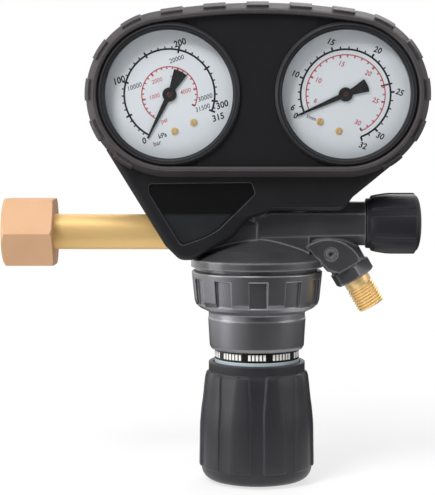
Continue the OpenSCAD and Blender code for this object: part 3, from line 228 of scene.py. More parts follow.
class EffectLibrary:
    """Builds each shared effect once, as a shader node group.

    Attributes:
        mottle_range: The noise values where the mottle starts and ends.
        bevel_samples: How many samples round an edge.
        rub_gain: How strongly a bent normal counts towards the edge mask of scuffing and painted
            highlight.
        dust_scale: How fine the patches of dust are, per metre.
        groups: The node group of each effect.
    """

    mottle_range = (0.3, 0.7)
    bevel_samples = 6
    rub_gain = 22.0
    dust_scale = 220.0

    def __init__(self) -> None:
        """Builds all the groups."""
        self.groups = {
            Effect.GRAIN: self._grain(),
            Effect.EDGE: self._edge(),
            Effect.DUST: self._dust(),
        }

    @staticmethod
    def _group(
            effect: Effect, inputs: Sequence[tuple[str, str, object]],
            outputs: Sequence[tuple[str, str]],
    ) -> tuple[NodeBook, bpy.types.Node, bpy.types.Node]:
        """Makes an empty group with its sockets.

        Args:
            effect: The effect, which names the group.
            inputs: Name, socket type and default of each input.
            outputs: Name and socket type of each output.

        Returns:
            The node book of the group, its input node and its output node.
        """
        tree = bpy.data.node_groups.new(effect.value, "ShaderNodeTree")
        for name, kind, default in inputs:
            socket = tree.interface.new_socket(name=name, in_out="INPUT", socket_type=kind)
            socket.default_value = default
        for name, kind in outputs:
            tree.interface.new_socket(name=name, in_out="OUTPUT", socket_type=kind)
        book = NodeBook(tree)
        return book, tree.nodes.new("NodeGroupInput"), tree.nodes.new("NodeGroupOutput")

    def _grain(self) -> bpy.types.NodeTree:
        """A fine relief that can be stretched into machining lines, and a broad mottle.

        Returns:
            The group.
        """
        book, start, end = self._group(
            Effect.GRAIN,
            [("Scale", "NodeSocketFloat", 900.0), ("Stretch", "NodeSocketVector", (1, 1, 1)),
             ("Mottle Scale", "NodeSocketFloat", 60.0)],
            [("Height", "NodeSocketFloat"), ("Mottle", "NodeSocketFloat")])
        place = book.add("TexCoord").outputs["Object"]
        stretch = book.add("VectorMath", operation="MULTIPLY")
        book.link(place, stretch.inputs[0])
        book.link(start.outputs["Stretch"], stretch.inputs[1])
        fine = book.noise(stretch.outputs[0], start.outputs["Scale"], 4, 0.6)
        broad = book.noise(place, start.outputs["Mottle Scale"], 3)
        book.link(fine, end.inputs["Height"])
        book.link(book.ramp(broad, *self.mottle_range, 0.0, 1.0), end.inputs["Mottle"])
        return book.tree

    def _edge(self) -> bpy.types.NodeTree:
        """A rounded normal along edges, and an edge mask for scuffing and painted highlight.

        Returns:
            The group.
        """
        book, start, end = self._group(
            Effect.EDGE,
            [("Radius", "NodeSocketFloat", 0.0004), ("Breakup Scale", "NodeSocketFloat", 400.0)],
            [("Normal", "NodeSocketVector"), ("Rubbed And Highlight", "NodeSocketFloat")])
        bevel = book.add("Bevel", samples=self.bevel_samples)
        book.link(start.outputs["Radius"], bevel.inputs["Radius"])
        flat = book.add("NewGeometry")
        dot = book.add("VectorMath", operation="DOT_PRODUCT")
        book.link(bevel.outputs["Normal"], dot.inputs[0])
        book.link(flat.outputs["Normal"], dot.inputs[1])
        bend = book.maths("SUBTRACT", 1.0, dot.outputs["Value"])
        place = book.add("TexCoord").outputs["Object"]
        breakup = book.noise(place, start.outputs["Breakup Scale"], 3)
        # The edge mask: where edges are scuffed, and where a painted highlight lightens them.
        rubbed = book.maths("MULTIPLY", bend, breakup)
        book.link(bevel.outputs["Normal"], end.inputs["Normal"])
        book.link(book.maths("MULTIPLY", rubbed, self.rub_gain, clamp=True), end.inputs["Rubbed And Highlight"])
        return book.tree

    def _dust(self) -> bpy.types.NodeTree:
        """A mask of fine dust on surfaces that face up.

        Returns:
            The group.
        """
        book, start, end = self._group(
            Effect.DUST,
            [("Amount", "NodeSocketFloat", 0.2)],
            [("Mask", "NodeSocketFloat")])
        parts = book.add("SeparateXYZ")
        book.link(book.add("NewGeometry").outputs["Normal"], parts.inputs[0])
        patches = book.noise(book.add("TexCoord").outputs["Object"], self.dust_scale, 5)
        upward = book.maths("MAXIMUM", parts.outputs["Z"], 0.0)
        patchy = book.maths("MULTIPLY", upward, patches)
        mask = book.maths("MULTIPLY", patchy, start.outputs["Amount"], clamp=True)
        book.link(mask, end.inputs["Mask"])
        return book.tree

    def place(self, book: NodeBook, effect: Effect, **values: object) -> bpy.types.Node:
        """Places an effect in a material.

        Args:
            book: The material's node book.
            effect: The effect to place.
            values: Input values, named as the sockets with underscores for spaces.

        Returns:
            The group node.
        """
        node = book.add("Group", node_tree=self.groups[effect])
        for name, value in values.items():
            node.inputs[name.replace("_", " ")].default_value = value
        return node


def new_material(name: str) -> tuple[bpy.types.Material, NodeBook, bpy.types.Node]:
    """Makes a material with its nodes.

    Args:
        name: The material's name.

    Returns:
        The material, its node book and its main shader.
    """
    material = bpy.data.materials.new(name)
    material.use_nodes = True
    tree = material.node_tree
    return material, NodeBook(tree), tree.nodes["Principled BSDF"]


@dataclass(frozen=True)
class Finish:
    """An opaque finish: its colour, gloss, relief, and its edge colour of scuffing and painted
    highlight.

    Attributes:
        colour: The main colour.
        accent: The colour that the mottle runs to.
        mottle: How strongly the mottle shows, from 0 to 1.
        metallic: 1 for bare metal.
        roughness: The mean roughness.
        spread: How far the roughness varies.
        specular: The specular level.
        grain: How fine the relief is, per metre.
        stretch: How the relief is stretched along each axis.
        depth: The relief's depth in metres.
        edge: The radius that edges look rounded to.
        rubbed: The colour painted along edges, for scuffing and a painted highlight.
        wear: How strongly that edge colour of scuffing and painted highlight shows.
        dust: How much dust lies on top.
        coat: The weight of a clear coat.
        coat_roughness: The clear coat's roughness.
    """

    colour: Colour
    accent: Colour
    mottle: float = 0.5
    metallic: float = 0.0
    roughness: float = 0.5
    spread: float = 0.08
    specular: float = 0.5
    grain: float = 1500.0
    stretch: Triple = (1.0, 1.0, 1.0)
    depth: float = 0.00002
    edge: float = 0.0004
    rubbed: Colour = (0.2, 0.2, 0.2)
    wear: float = 0.0
    dust: float = 0.0
    coat: float = 0.0
    coat_roughness: float = 0.1

    def _coloured(self, book: NodeBook, effects: EffectLibrary, mottle: bpy.types.NodeSocket,
                  rubbed: bpy.types.NodeSocket) -> bpy.types.NodeSocket:
        """The colour with its mottle, its scuffed and painted-highlight edges, and dust.

        Args:
            book: The material's node book.
            effects: The shared effects.
            mottle: The mottle's output.
            rubbed: The output of the edge mask for scuffing and painted highlight.

        Returns:
            The colour's output.
        """
        colour = book.blend(book.maths("MULTIPLY", mottle, self.mottle), self.colour, self.accent)
        # Edges are painted lighter: partly scuffing, partly a painted highlight.
        if self.wear:
            worn_and_lit = book.maths("MULTIPLY", rubbed, self.wear, clamp=True)
            colour = book.blend(worn_and_lit, colour, self.rubbed)
        if self.dust:
            dust = effects.place(book, Effect.DUST, Amount=self.dust)
            colour = book.blend(dust.outputs["Mask"], colour, DUST_GREY)
        return colour

    def build(self, name: str, effects: EffectLibrary) -> bpy.types.Material:
        """Builds the material.

        Args:
            name: The material's name.
            effects: The shared effects.

        Returns:
            The new material.
        """
        material, book, shader = new_material(name)
        grain = effects.place(book, Effect.GRAIN, Scale=self.grain, Stretch=self.stretch)
        edge = effects.place(book, Effect.EDGE, Radius=self.edge)
        colour = self._coloured(book, effects, grain.outputs["Mottle"], edge.outputs["Rubbed And Highlight"])
        book.link(colour, shader.inputs["Base Color"])
        rough = book.ramp(grain.outputs["Height"], 0.0, 1.0, self.roughness - self.spread,
                          self.roughness + self.spread)
        book.link(rough, shader.inputs["Roughness"])
        bump = book.add("Bump")
        bump.inputs["Distance"].default_value = self.depth
        book.link(grain.outputs["Height"], bump.inputs["Height"])
        book.link(edge.outputs["Normal"], bump.inputs["Normal"])
        book.link(bump.outputs["Normal"], shader.inputs["Normal"])
        shader.inputs["Metallic"].default_value = self.metallic
        shader.inputs["Specular IOR Level"].default_value = self.specular
        shader.inputs["Coat Weight"].default_value = self.coat
        shader.inputs["Coat Roughness"].default_value = self.coat_roughness
        return material


@dataclass(frozen=True)
class ClearFinish:
    """A clear window that shows a little haze and more gloss at a low angle.

    Attributes:
        tint: The colour of what the window itself gives back.
        haze: The share of light that the window itself gives back.
        film: How much that share grows at a low angle.
        gloss: The roughness.
        smears: How fine the variation of the roughness is, per metre.
        index: The refractive index.
        film_index: The refractive index that sets the share at a low angle.
    """

    tint: Colour = (0.4, 0.41, 0.42)
    haze: float = 0.004
    film: float = 0.6
    gloss: float = 0.04
    smears: float = 30.0
    index: float = 1.49
    film_index: float = 1.45

    def build(self, name: str, effects: EffectLibrary) -> bpy.types.Material:
        """Builds the material.

        Args:
            name: The material's name.
            effects: The shared effects.

        Returns:
            The new material.
        """
        material, book, shader = new_material(name)
        shader.inputs["Base Color"].default_value = (*self.tint, 1)
        grain = effects.place(book, Effect.GRAIN, Mottle_Scale=self.smears)
        rough = book.ramp(grain.outputs["Mottle"], 0.0, 1.0, self.gloss, self.gloss * 2)
        book.link(rough, shader.inputs["Roughness"])
        low_angle = book.add("Fresnel")
        low_angle.inputs["IOR"].default_value = self.film_index
        film = book.maths("MULTIPLY_ADD", low_angle.outputs[0], self.film, self.haze, clamp=True)
        book.link(film, shader.inputs["Alpha"])
        shader.inputs["IOR"].default_value = self.index
        return material


# A light grey painted along the black coat's edges: partly scuffing, mostly a painted highlight
# where edges catch the light.
BLACK_WEAR_AND_HIGHLIGHT = tone(136, 136, 140)
DUST_GREY = tone(150, 146, 138)

# On the dark coats, the plastics, the rubber and the bonnet, the edge colour is partly a painted
# highlight as well as scuffing.
FINISHES: dict[str, Finish | ClearFinish] = {
    "nut_brass": Finish(
        tone(206, 164, 128), tone(214, 174, 138), mottle=0.6, metallic=0.35, roughness=0.6,
        spread=0.06, specular=0.4, grain=900.0, depth=0.00003, edge=0.0007,
        rubbed=tone(240, 204, 166), wear=0.5),
    "tube_brass": Finish(
        tone(234, 196, 130), tone(240, 204, 142), metallic=0.6, spread=0.05, grain=260.0,
        stretch=(14, 1, 1), depth=0.00001, edge=0.0005, rubbed=tone(246, 226, 180), wear=0.4),
    "polished_brass": Finish(
        tone(250, 214, 148), tone(252, 220, 160), mottle=0.4, metallic=0.5, roughness=0.36,
        spread=0.05, grain=700.0, depth=0.00001, edge=0.0002, rubbed=tone(250, 226, 172), wear=0.5),
    "inner_brass": Finish(
        tone(216, 178, 112), tone(228, 196, 132), metallic=1.0, roughness=0.34, spread=0.07),
    "sintered_bronze": Finish(
        tone(170, 128, 84), tone(120, 88, 58), mottle=0.8, metallic=0.8, roughness=0.6, spread=0.1,
        grain=2600.0, depth=0.00012),
    "black_coat": Finish(
        tone(46, 46, 49), tone(60, 60, 64), mottle=0.6, roughness=0.36, grain=1100.0, depth=0.00006,
        edge=0.0014, rubbed=BLACK_WEAR_AND_HIGHLIGHT, wear=0.7, dust=0.04, coat=0.7, coat_roughness=0.14),
    "bonnet_coat": Finish(
        tone(132, 132, 136), tone(148, 148, 152), metallic=0.92, roughness=0.3, spread=0.06,
        grain=1300.0, depth=0.00005, edge=0.0008, rubbed=tone(196, 196, 200), wear=0.8, dust=0.03,
        coat=0.1, coat_roughness=0.3),
    "housing_plastic": Finish(
        tone(23, 23, 25), tone(31, 31, 33), roughness=0.44, specular=0.3, grain=2400.0,
        depth=0.00004, edge=0.0008, rubbed=tone(92, 92, 95), wear=0.5, dust=0.04),
    "knob_plastic": Finish(
        tone(34, 34, 38), tone(43, 43, 47), roughness=0.42, specular=0.4, grain=2200.0,
        depth=0.00004, edge=0.0008, rubbed=tone(92, 91, 97), wear=0.4, dust=0.03),
    "valve_knob_plastic": Finish(
        tone(28, 28, 32), tone(36, 36, 41), roughness=0.45, specular=0.3, grain=2200.0,
        depth=0.00004, edge=0.0006, rubbed=tone(84, 82, 88), wear=0.5, dust=0.02),
    "band_plastic": Finish(
        tone(12, 12, 13), tone(18, 18, 19), mottle=0.4, roughness=0.25, spread=0.05, specular=0.4),
    "marking_ring": Finish(
        tone(166, 182, 188), tone(182, 196, 200), mottle=0.4, roughness=0.4, spread=0.06),
    "bumper_rubber": Finish(
        tone(53, 50, 52), tone(62, 59, 61), mottle=0.6, roughness=0.56, specular=0.3, grain=1900.0,
        depth=0.00009, edge=0.0009, rubbed=tone(112, 106, 106), wear=0.4, dust=0.06),
    "inner_rubber": Finish(
        tone(34, 34, 34), tone(42, 42, 42), roughness=0.65, spread=0.06, specular=0.3),
    "steel": Finish(
        tone(196, 196, 198), tone(212, 212, 214), metallic=1.0, roughness=0.32, grain=700.0,
        stretch=(1, 1, 8), edge=0.0003),
    "spring_steel": Finish(tone(168, 168, 172), tone(186, 186, 190), metallic=1.0, roughness=0.36),
    "seal_plastic": Finish(
        tone(222, 220, 212), tone(210, 207, 198), mottle=0.4, roughness=0.45, spread=0.05),
    "panel_plastic": Finish(
        tone(24, 24, 26), tone(29, 29, 31), mottle=0.4, roughness=0.42, spread=0.05, specular=0.25,
        grain=2600.0, depth=0.00001, edge=0.0003, rubbed=tone(84, 84, 88), wear=0.4),
    "label_black": Finish(
        tone(12, 12, 13), tone(16, 16, 17), mottle=0.4, roughness=0.3, spread=0.05, specular=0.3,
        depth=0.00001, edge=0.0002, rubbed=tone(104, 106, 108), wear=0.6),
    "label_stipple": Finish(
        tone(24, 25, 27), tone(36, 37, 40), mottle=0.7, roughness=0.55, specular=0.25,
        depth=0.00016, edge=0.0002),
    "case_steel": Finish(
        tone(44, 44, 45), tone(52, 52, 53), mottle=0.4, metallic=0.2, roughness=0.42, spread=0.06),
    "dial_white": Finish(
        tone(230, 236, 241), tone(235, 239, 243), mottle=0.4, roughness=0.62, spread=0.05,
        specular=0.25, grain=1200.0, depth=0.00001, edge=0.0002),
    "pointer_black": Finish(
        tone(16, 16, 17), tone(22, 22, 23), mottle=0.4, spread=0.05, specular=0.3),
    "bush_copper": Finish(
        tone(104, 50, 44), tone(124, 64, 54), metallic=0.6, roughness=0.4, spread=0.05, grain=900.0,
        depth=0.00001, edge=0.0001),
    "mark_white": Finish(
        tone(226, 224, 220), tone(214, 211, 207), spread=0.05, specular=0.3, depth=0.00001,
        edge=0.0001),
    "lens_clear": ClearFinish(),
    "ink_black": Finish(
        tone(20, 21, 24), tone(30, 31, 35), mottle=0.6, roughness=0.6, spread=0.04, specular=0.2,
        grain=2500.0, depth=0.00001, edge=0.0001),
    "ink_grey": Finish(
        tone(84, 88, 94), tone(96, 100, 106), mottle=0.6, roughness=0.6, spread=0.04, specular=0.2,
        grain=2500.0, depth=0.00001, edge=0.0001),
    "ink_red": Finish(
        tone(198, 76, 80), tone(208, 92, 94), mottle=0.6, roughness=0.6, spread=0.04, specular=0.2,
        grain=2500.0, depth=0.00001, edge=0.0001),
    "ink_dark_red": Finish(
        tone(120, 36, 44), tone(138, 48, 54), mottle=0.6, roughness=0.6, spread=0.04, specular=0.2,
        grain=2500.0, depth=0.00001, edge=0.0001),
}


class Workshop:
    """Holds the materials and puts finished pieces into the scene.

    Attributes:
        effects: The shared effects.
        materials: The material of each finish.
    """

    def __init__(self) -> None:
        """Builds the shared effects and every finish."""
        self.effects = EffectLibrary()
        self.materials = {
            name: finish.build(name, self.effects) for name, finish in FINISHES.items()}

    def dress(self, obj: bpy.types.Object, finish: str) -> None:
        """Gives an object one finish.

        Args:
            obj: The object.
            finish: The finish's name.
        """
        obj.data.materials.clear()
        obj.data.materials.append(self.materials[finish])

    def piece(self, name: str, mesh: bpy.types.Mesh, finish: str, body: str,
              stands_for: Sequence[str] = (), smooth: float = 35.0) -> bpy.types.Object:
        """Adds a piece to the scene.

        Args:
            name: The piece's name.
            mesh: Its mesh, in the row frame.
            finish: The finish's name.
            body: The CAD body that carries it.
            stands_for: The CAD nodes that it replaces.
            smooth: The angle in degrees up to which edges are shaded smooth.

        Returns:
            The new object.
        """
        obj = bpy.data.objects.new(name, mesh)
        bpy.context.scene.collection.objects.link(obj)
        mesh.shade_smooth()
        mesh.set_sharp_from_angle(angle=math.radians(smooth))
        self.dress(obj, finish)
        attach(obj, body)
        if stands_for:
            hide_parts(*stands_for)
        log.info("%s: %d faces, rides on %s", name, len(mesh.polygons), body)
        return obj


def outward(mesh: bpy.types.Mesh) -> bpy.types.Mesh:
    """Turns every face of a mesh outwards.

    Args:
        mesh: The mesh.

    Returns:
        The same mesh.
    """
    shape = bmesh.new()
    shape.from_mesh(mesh)
    bmesh.ops.recalc_face_normals(shape, faces=shape.faces)
    shape.to_mesh(mesh)
    shape.free()
    return mesh


class MeshBook:
    """Gathers shapes into one mesh.

    Attributes:
        points: The points so far, in metres.
        faces: The places of each face's points among them.
    """

    def __init__(self) -> None:
        """Starts empty."""
        self.points: list[Triple] = []
        self.faces: list[tuple[int, ...]] = []

    def rings(self, rows: Sequence[Sequence[Vector]], capped: bool = False,
              looped: bool = False) -> None:
        """Adds a skin over rings of points.

        Args:
            rows: Rings of the same number of points.
            capped: Whether the first and last ring are filled.
            looped: Whether the last ring is joined to the first.
        """
        start = len(self.points)
        count = len(rows[0])
        self.points += [tuple(point) for row in rows for point in row]
        for row in range(len(rows) - (0 if looped else 1)):
            low = start + row * count
            high = start + (row + 1) % len(rows) * count
            for place in range(count):
                after = (place + 1) % count
                self.faces.append((low + place, low + after, high + after, high + place))
        if capped:
            last = start + (len(rows) - 1) * count
            self.faces.append(tuple(range(start, start + count)))
            self.faces.append(tuple(range(last, last + count)))

    def mesh(self, name: str) -> bpy.types.Mesh:
        """The gathered shapes.

        Args:
            name: The mesh's name.

        Returns:
            The new mesh.
        """
        mesh = bpy.data.meshes.new(name)
        mesh.from_pydata(self.points, [], self.faces)
        mesh.validate()
        mesh.update()
        return outward(mesh)


def grid_mesh(name: str, rows: Sequence[Sequence[Vector]]) -> bpy.types.Mesh:
    """A mesh with a skin over rings of points.

    Args:
        name: The mesh's name.
        rows: Rings of the same number of points.

    Returns:
        The new mesh.
    """
    book = MeshBook()
    book.rings(rows)
    return book.mesh(name)


def wheel(count: int) -> list[float]:
    """Equal steps round a full turn.

    Args:
        count: How many steps.

    Returns:
        The angle of each step in radians.
    """
    return [2 * math.pi * step / count for step in range(count)]


def inset(outline: Sequence[Flat], amount: float) -> list[Flat]:
    """An outline moved inwards.

    Args:
        outline: The corners, counterclockwise.
        amount: How far each side moves.

    Returns:
        The new corners.
    """
    result = []
    count = len(outline)
    for place, (x, y) in enumerate(outline):
        before = Vector((x - outline[place - 1][0], y - outline[place - 1][1])).normalized()
        ahead = outline[(place + 1) % count]
        after = Vector((ahead[0] - x, ahead[1] - y)).normalized()
        sides = Vector((-before.y - after.y, before.x + after.x))
        reach = amount * 2 / max(sides.length_squared, SHARPEST)
        result.append((x + sides.x * reach, y + sides.y * reach))
    return result


@dataclass
class Camera:
    """The photograph's view.

    Attributes:
        place: The camera's place.
        aim: The point at the middle of the picture.
        lens: The focal length in millimetres.
        sensor: The long side of the picture in the camera, in millimetres.
        nearest: Where the view begins, in metres from the camera.
    """

    place: Triple = (0.111, -0.728, 0.049)
    aim: Triple = (0.097, 0.0, -0.0072)
    lens: float = 116.4
    sensor: float = 36.0
    nearest: float = 0.01

    def build(self) -> bpy.types.Object:
        """Makes the camera and gives it to the scene.

        Returns:
            The camera object.
        """
        data = bpy.data.cameras.new("camera")
        data.lens = self.lens
        data.sensor_width = self.sensor
        data.clip_start = self.nearest
        obj = bpy.data.objects.new("camera", data)
        obj.location = self.place
        forward = Vector(self.aim) - Vector(self.place)
        obj.rotation_mode = "QUATERNION"
        obj.rotation_quaternion = forward.to_track_quat("-Z", "Y")
        bpy.context.scene.collection.objects.link(obj)
        bpy.context.scene.camera = obj
        log.info("camera: lens %.1f mm", self.lens)
        return obj


@dataclass(frozen=True)
class Lamp:
    """A soft square lamp.

    Attributes:
        name: The lamp's name.
        place: Its place.
        size: Its side length in metres.
        power: Its power in watts.
        mirrored: Whether it shows in reflections.
    """

    name: str
    place: Triple
    size: float
    power: float
    mirrored: bool = True

    def build(self, aim: Vector) -> None:
        """Makes the lamp and points it.

        Args:
            aim: The point it is turned to.
        """
        data = bpy.data.lights.new(self.name, "AREA")
        data.size = self.size
        data.energy = self.power
        obj = bpy.data.objects.new(self.name, data)
        obj.visible_glossy = self.mirrored
        obj.location = self.place
        obj.rotation_mode = "QUATERNION"
        obj.rotation_quaternion = (aim - Vector(self.place)).to_track_quat("-Z", "Y")
        bpy.context.scene.collection.objects.link(obj)
        log.info("%s: %.1f W", self.name, self.power)


@dataclass
class Studio:
    """A pale floor, a white surround and soft lamps.

    Attributes:
        floor_z: The height of the floor.
        fill: The surround's level for matt surfaces.
        dark: The surround's lowest level in reflections.
        walls: The axis, start, end and level of each bright side in reflections.
        floor_half: Half the floor's side.
        floor_tones: The two colours that the floor's mottle runs between.
        floor_middle: Where the middle of the floor's shades lies, in X and Y.
        floor_fade: Where the floor's own shade starts and ends to fade, and its level at both.
        floor_near: Where the floor starts and ends to turn dark in reflections.
        floor_sides: The start, end and level of each bright side of the floor in reflections,
            along X.
        aim: The point that the lamps are turned to.
        lamps: The lamps.
    """

    floor_z: float
    fill: float = 0.4
    dark: float = 0.06
    walls: Sequence[tuple[str, float, float, float]] = (
        ("X", -0.25, -0.75, 1.15), ("X", 0.35, 0.95, 0.5), ("Z", 0.3, 0.85, 1.0),
        ("Y", 0.2, 0.9, 0.8))
    floor_half: float = 4.0
    floor_tones: tuple[Colour, Colour] = ((0.86, 0.86, 0.87), (0.88, 0.88, 0.88))
    floor_middle: Flat = (0.115, 0.0)
    floor_fade: tuple[float, float, float, float] = (0.05, 0.32, 0.7, 1.0)
    floor_near: Flat = (0.06, 0.21)
    floor_sides: Sequence[Triple] = ((-0.05, -0.36, 1.15), (0.4, 0.72, 0.55))
    aim: Triple = (0.1, 0.0, 0.0)
    lamps: Sequence[Lamp] = (
        Lamp("key_lamp", (-0.28, -0.62, 0.62), 0.3, 8.3, mirrored=False),
        Lamp("top_lamp", (-0.05, -0.35, 0.85), 0.3, 1.5),
        Lamp("left_lamp", (-0.8, -0.2, 0.0), 0.45, 2.4),
        Lamp("right_lamp", (0.95, -0.2, 0.15), 0.45, 1.0),
        Lamp("back_lamp", (0.3, 0.75, 0.6), 0.5, 3.0))

    def build(self) -> None:
        """Builds the world, the floor and the lamps."""
        self._world()
        self._floor()
        for lamp in self.lamps:
            lamp.build(Vector(self.aim))

    def _world(self) -> None:
        """A surround that is white to the camera and a studio of soft walls in reflections."""
        world = bpy.data.worlds.new("surround")
        bpy.context.scene.world = world
        bpy.context.scene.view_settings.view_transform = "Standard"
        world.use_nodes = True
        book = NodeBook(world.node_tree)
        background = world.node_tree.nodes["Background"]
        background.inputs["Color"].default_value = (1, 1, 1, 1)
        path = book.add("LightPath")
        parts = book.add("SeparateXYZ")
        book.link(book.add("TexCoord").outputs["Generated"], parts.inputs[0])
        level: object = self.dark
        for axis, start, end, strength in self.walls:
            wall = book.ramp(parts.outputs[axis], start, end, 0.0, strength, smooth=True)
            level = book.maths("MAXIMUM", level, wall)
        glossy = book.maths("MULTIPLY", path.outputs["Is Glossy Ray"], level)
        seen = book.maths("MAXIMUM", path.outputs["Is Camera Ray"],
                          path.outputs["Is Transmission Ray"])
        direct = book.maths("MAXIMUM", glossy, seen)
        matt = book.maths("MULTIPLY", path.outputs["Is Diffuse Ray"], self.fill)
        book.link(book.maths("MAXIMUM", direct, matt), background.inputs["Strength"])

    def _floor(self) -> None:
        """A pale floor that runs to white further out and keeps the object's shadow."""
        half = self.floor_half
        mesh = bpy.data.meshes.new("floor")
        corners = [(-half, -half), (half, -half), (half, half), (-half, half)]
        mesh.from_pydata([(x, y, self.floor_z) for x, y in corners], [], [(0, 1, 2, 3)])
        floor = bpy.data.objects.new("floor", mesh)
        bpy.context.scene.collection.objects.link(floor)
        mesh.materials.append(self._floor_material())

    def _floor_material(self) -> bpy.types.Material:
        """The floor's surface, pale and matt, which fades to white further out for the camera.

        Returns:
            The new material.
        """
        material, book, shader = new_material("floor_pale")
        shader.inputs["Roughness"].default_value = 0.9
        shader.inputs["Specular IOR Level"].default_value = 0.1
        grain = book.add("TexNoise")
        grain.inputs["Scale"].default_value = 30
        book.link(book.blend(grain.outputs["Fac"], *self.floor_tones), shader.inputs["Base Color"])
        place = book.add("TexCoord").outputs["Object"]
        apart = book.add("VectorMath", operation="DISTANCE")
        apart.inputs[1].default_value = (*self.floor_middle, self.floor_z)
        book.link(place, apart.inputs[0])
        away = apart.outputs["Value"]
        fade = book.ramp(away, *self.floor_fade, smooth=True)
        level = book.ramp(away, *self.floor_near, 1.0, self.dark, smooth=True)
        parts = book.add("SeparateXYZ")
        book.link(place, parts.inputs[0])
        for start, end, strength in self.floor_sides:
            side = book.ramp(parts.outputs["X"], start, end, 0.0, strength, smooth=True)
            level = book.maths("MAXIMUM", level, side)
        path = book.add("LightPath")
        camera, glossy = path.outputs["Is Camera Ray"], path.outputs["Is Glossy Ray"]
        white = book.add("Emission")
        strength = book.maths("MAXIMUM", camera, book.maths("MULTIPLY", glossy, level))
        book.link(strength, white.inputs["Strength"])
        mix = book.add("MixShader")
        share = book.maths("MAXIMUM", book.maths("MULTIPLY", camera, fade), glossy)
        book.link(share, mix.inputs[0])
        book.link(shader.outputs[0], mix.inputs[1])
        book.link(white.outputs[0], mix.inputs[2])
        book.link(mix.outputs[0], material.node_tree.nodes["Material Output"].inputs["Surface"])
        return material


class Ink(Enum):
    """The inks of the dials, by the name of their finish."""

    BLACK = "ink_black"
    GREY = "ink_grey"
    RED = "ink_red"
    DARK_RED = "ink_dark_red"


@dataclass
class Scale:
    """A curved scale on a dial, in degrees clockwise from the dial's own top.

    Attributes:
        anchors: Pairs of value and angle that fix where the values lie.
        radius: The radius of its line in millimetres.
        width: The width of its line.
        minor_step: The value between minor marks.
        minor: Where a minor mark starts and ends, from the line.
        major_step: The value between major marks.
        major: Where a major mark starts and ends, from the line.
        minor_from: The value of the first minor mark.
        ink: The ink of its line and marks.
        minor_width: The width of a minor mark.
        major_width: The width of a major mark.
    """

    anchors: Sequence[Flat]
    radius: float
    width: float
    minor_step: float
    minor: Flat
    major_step: float
    major: Flat
    minor_from: float
    ink: Ink
    minor_width: float = 0.6
    major_width: float = 0.85

    def angle(self, value: float) -> float:
        """The angle of a value.

        Args:
            value: The value on the scale.

        Returns:
            The angle in degrees clockwise from the dial's top.
        """
        for (low, start), (high, end) in zip(self.anchors, self.anchors[1:]):
            if value <= high:
                return start + (end - start) * (value - low) / (high - low)
        return self.anchors[-1][1]

    @property
    def last(self) -> float:
        """The highest value."""
        return self.anchors[-1][0]


@dataclass
class Legend:
    """A number or unit on a dial.

    Attributes:
        words: What it says.
        angle: Its angle, in degrees clockwise from the dial's top.
        radius: Its distance from the dial's centre in millimetres.
        height: The height of its characters in millimetres.
        weight: How much its strokes are thickened, in millimetres.
        ink: Its ink.
    """

    words: str
    angle: float
    radius: float
    height: float
    weight: float
    ink: Ink


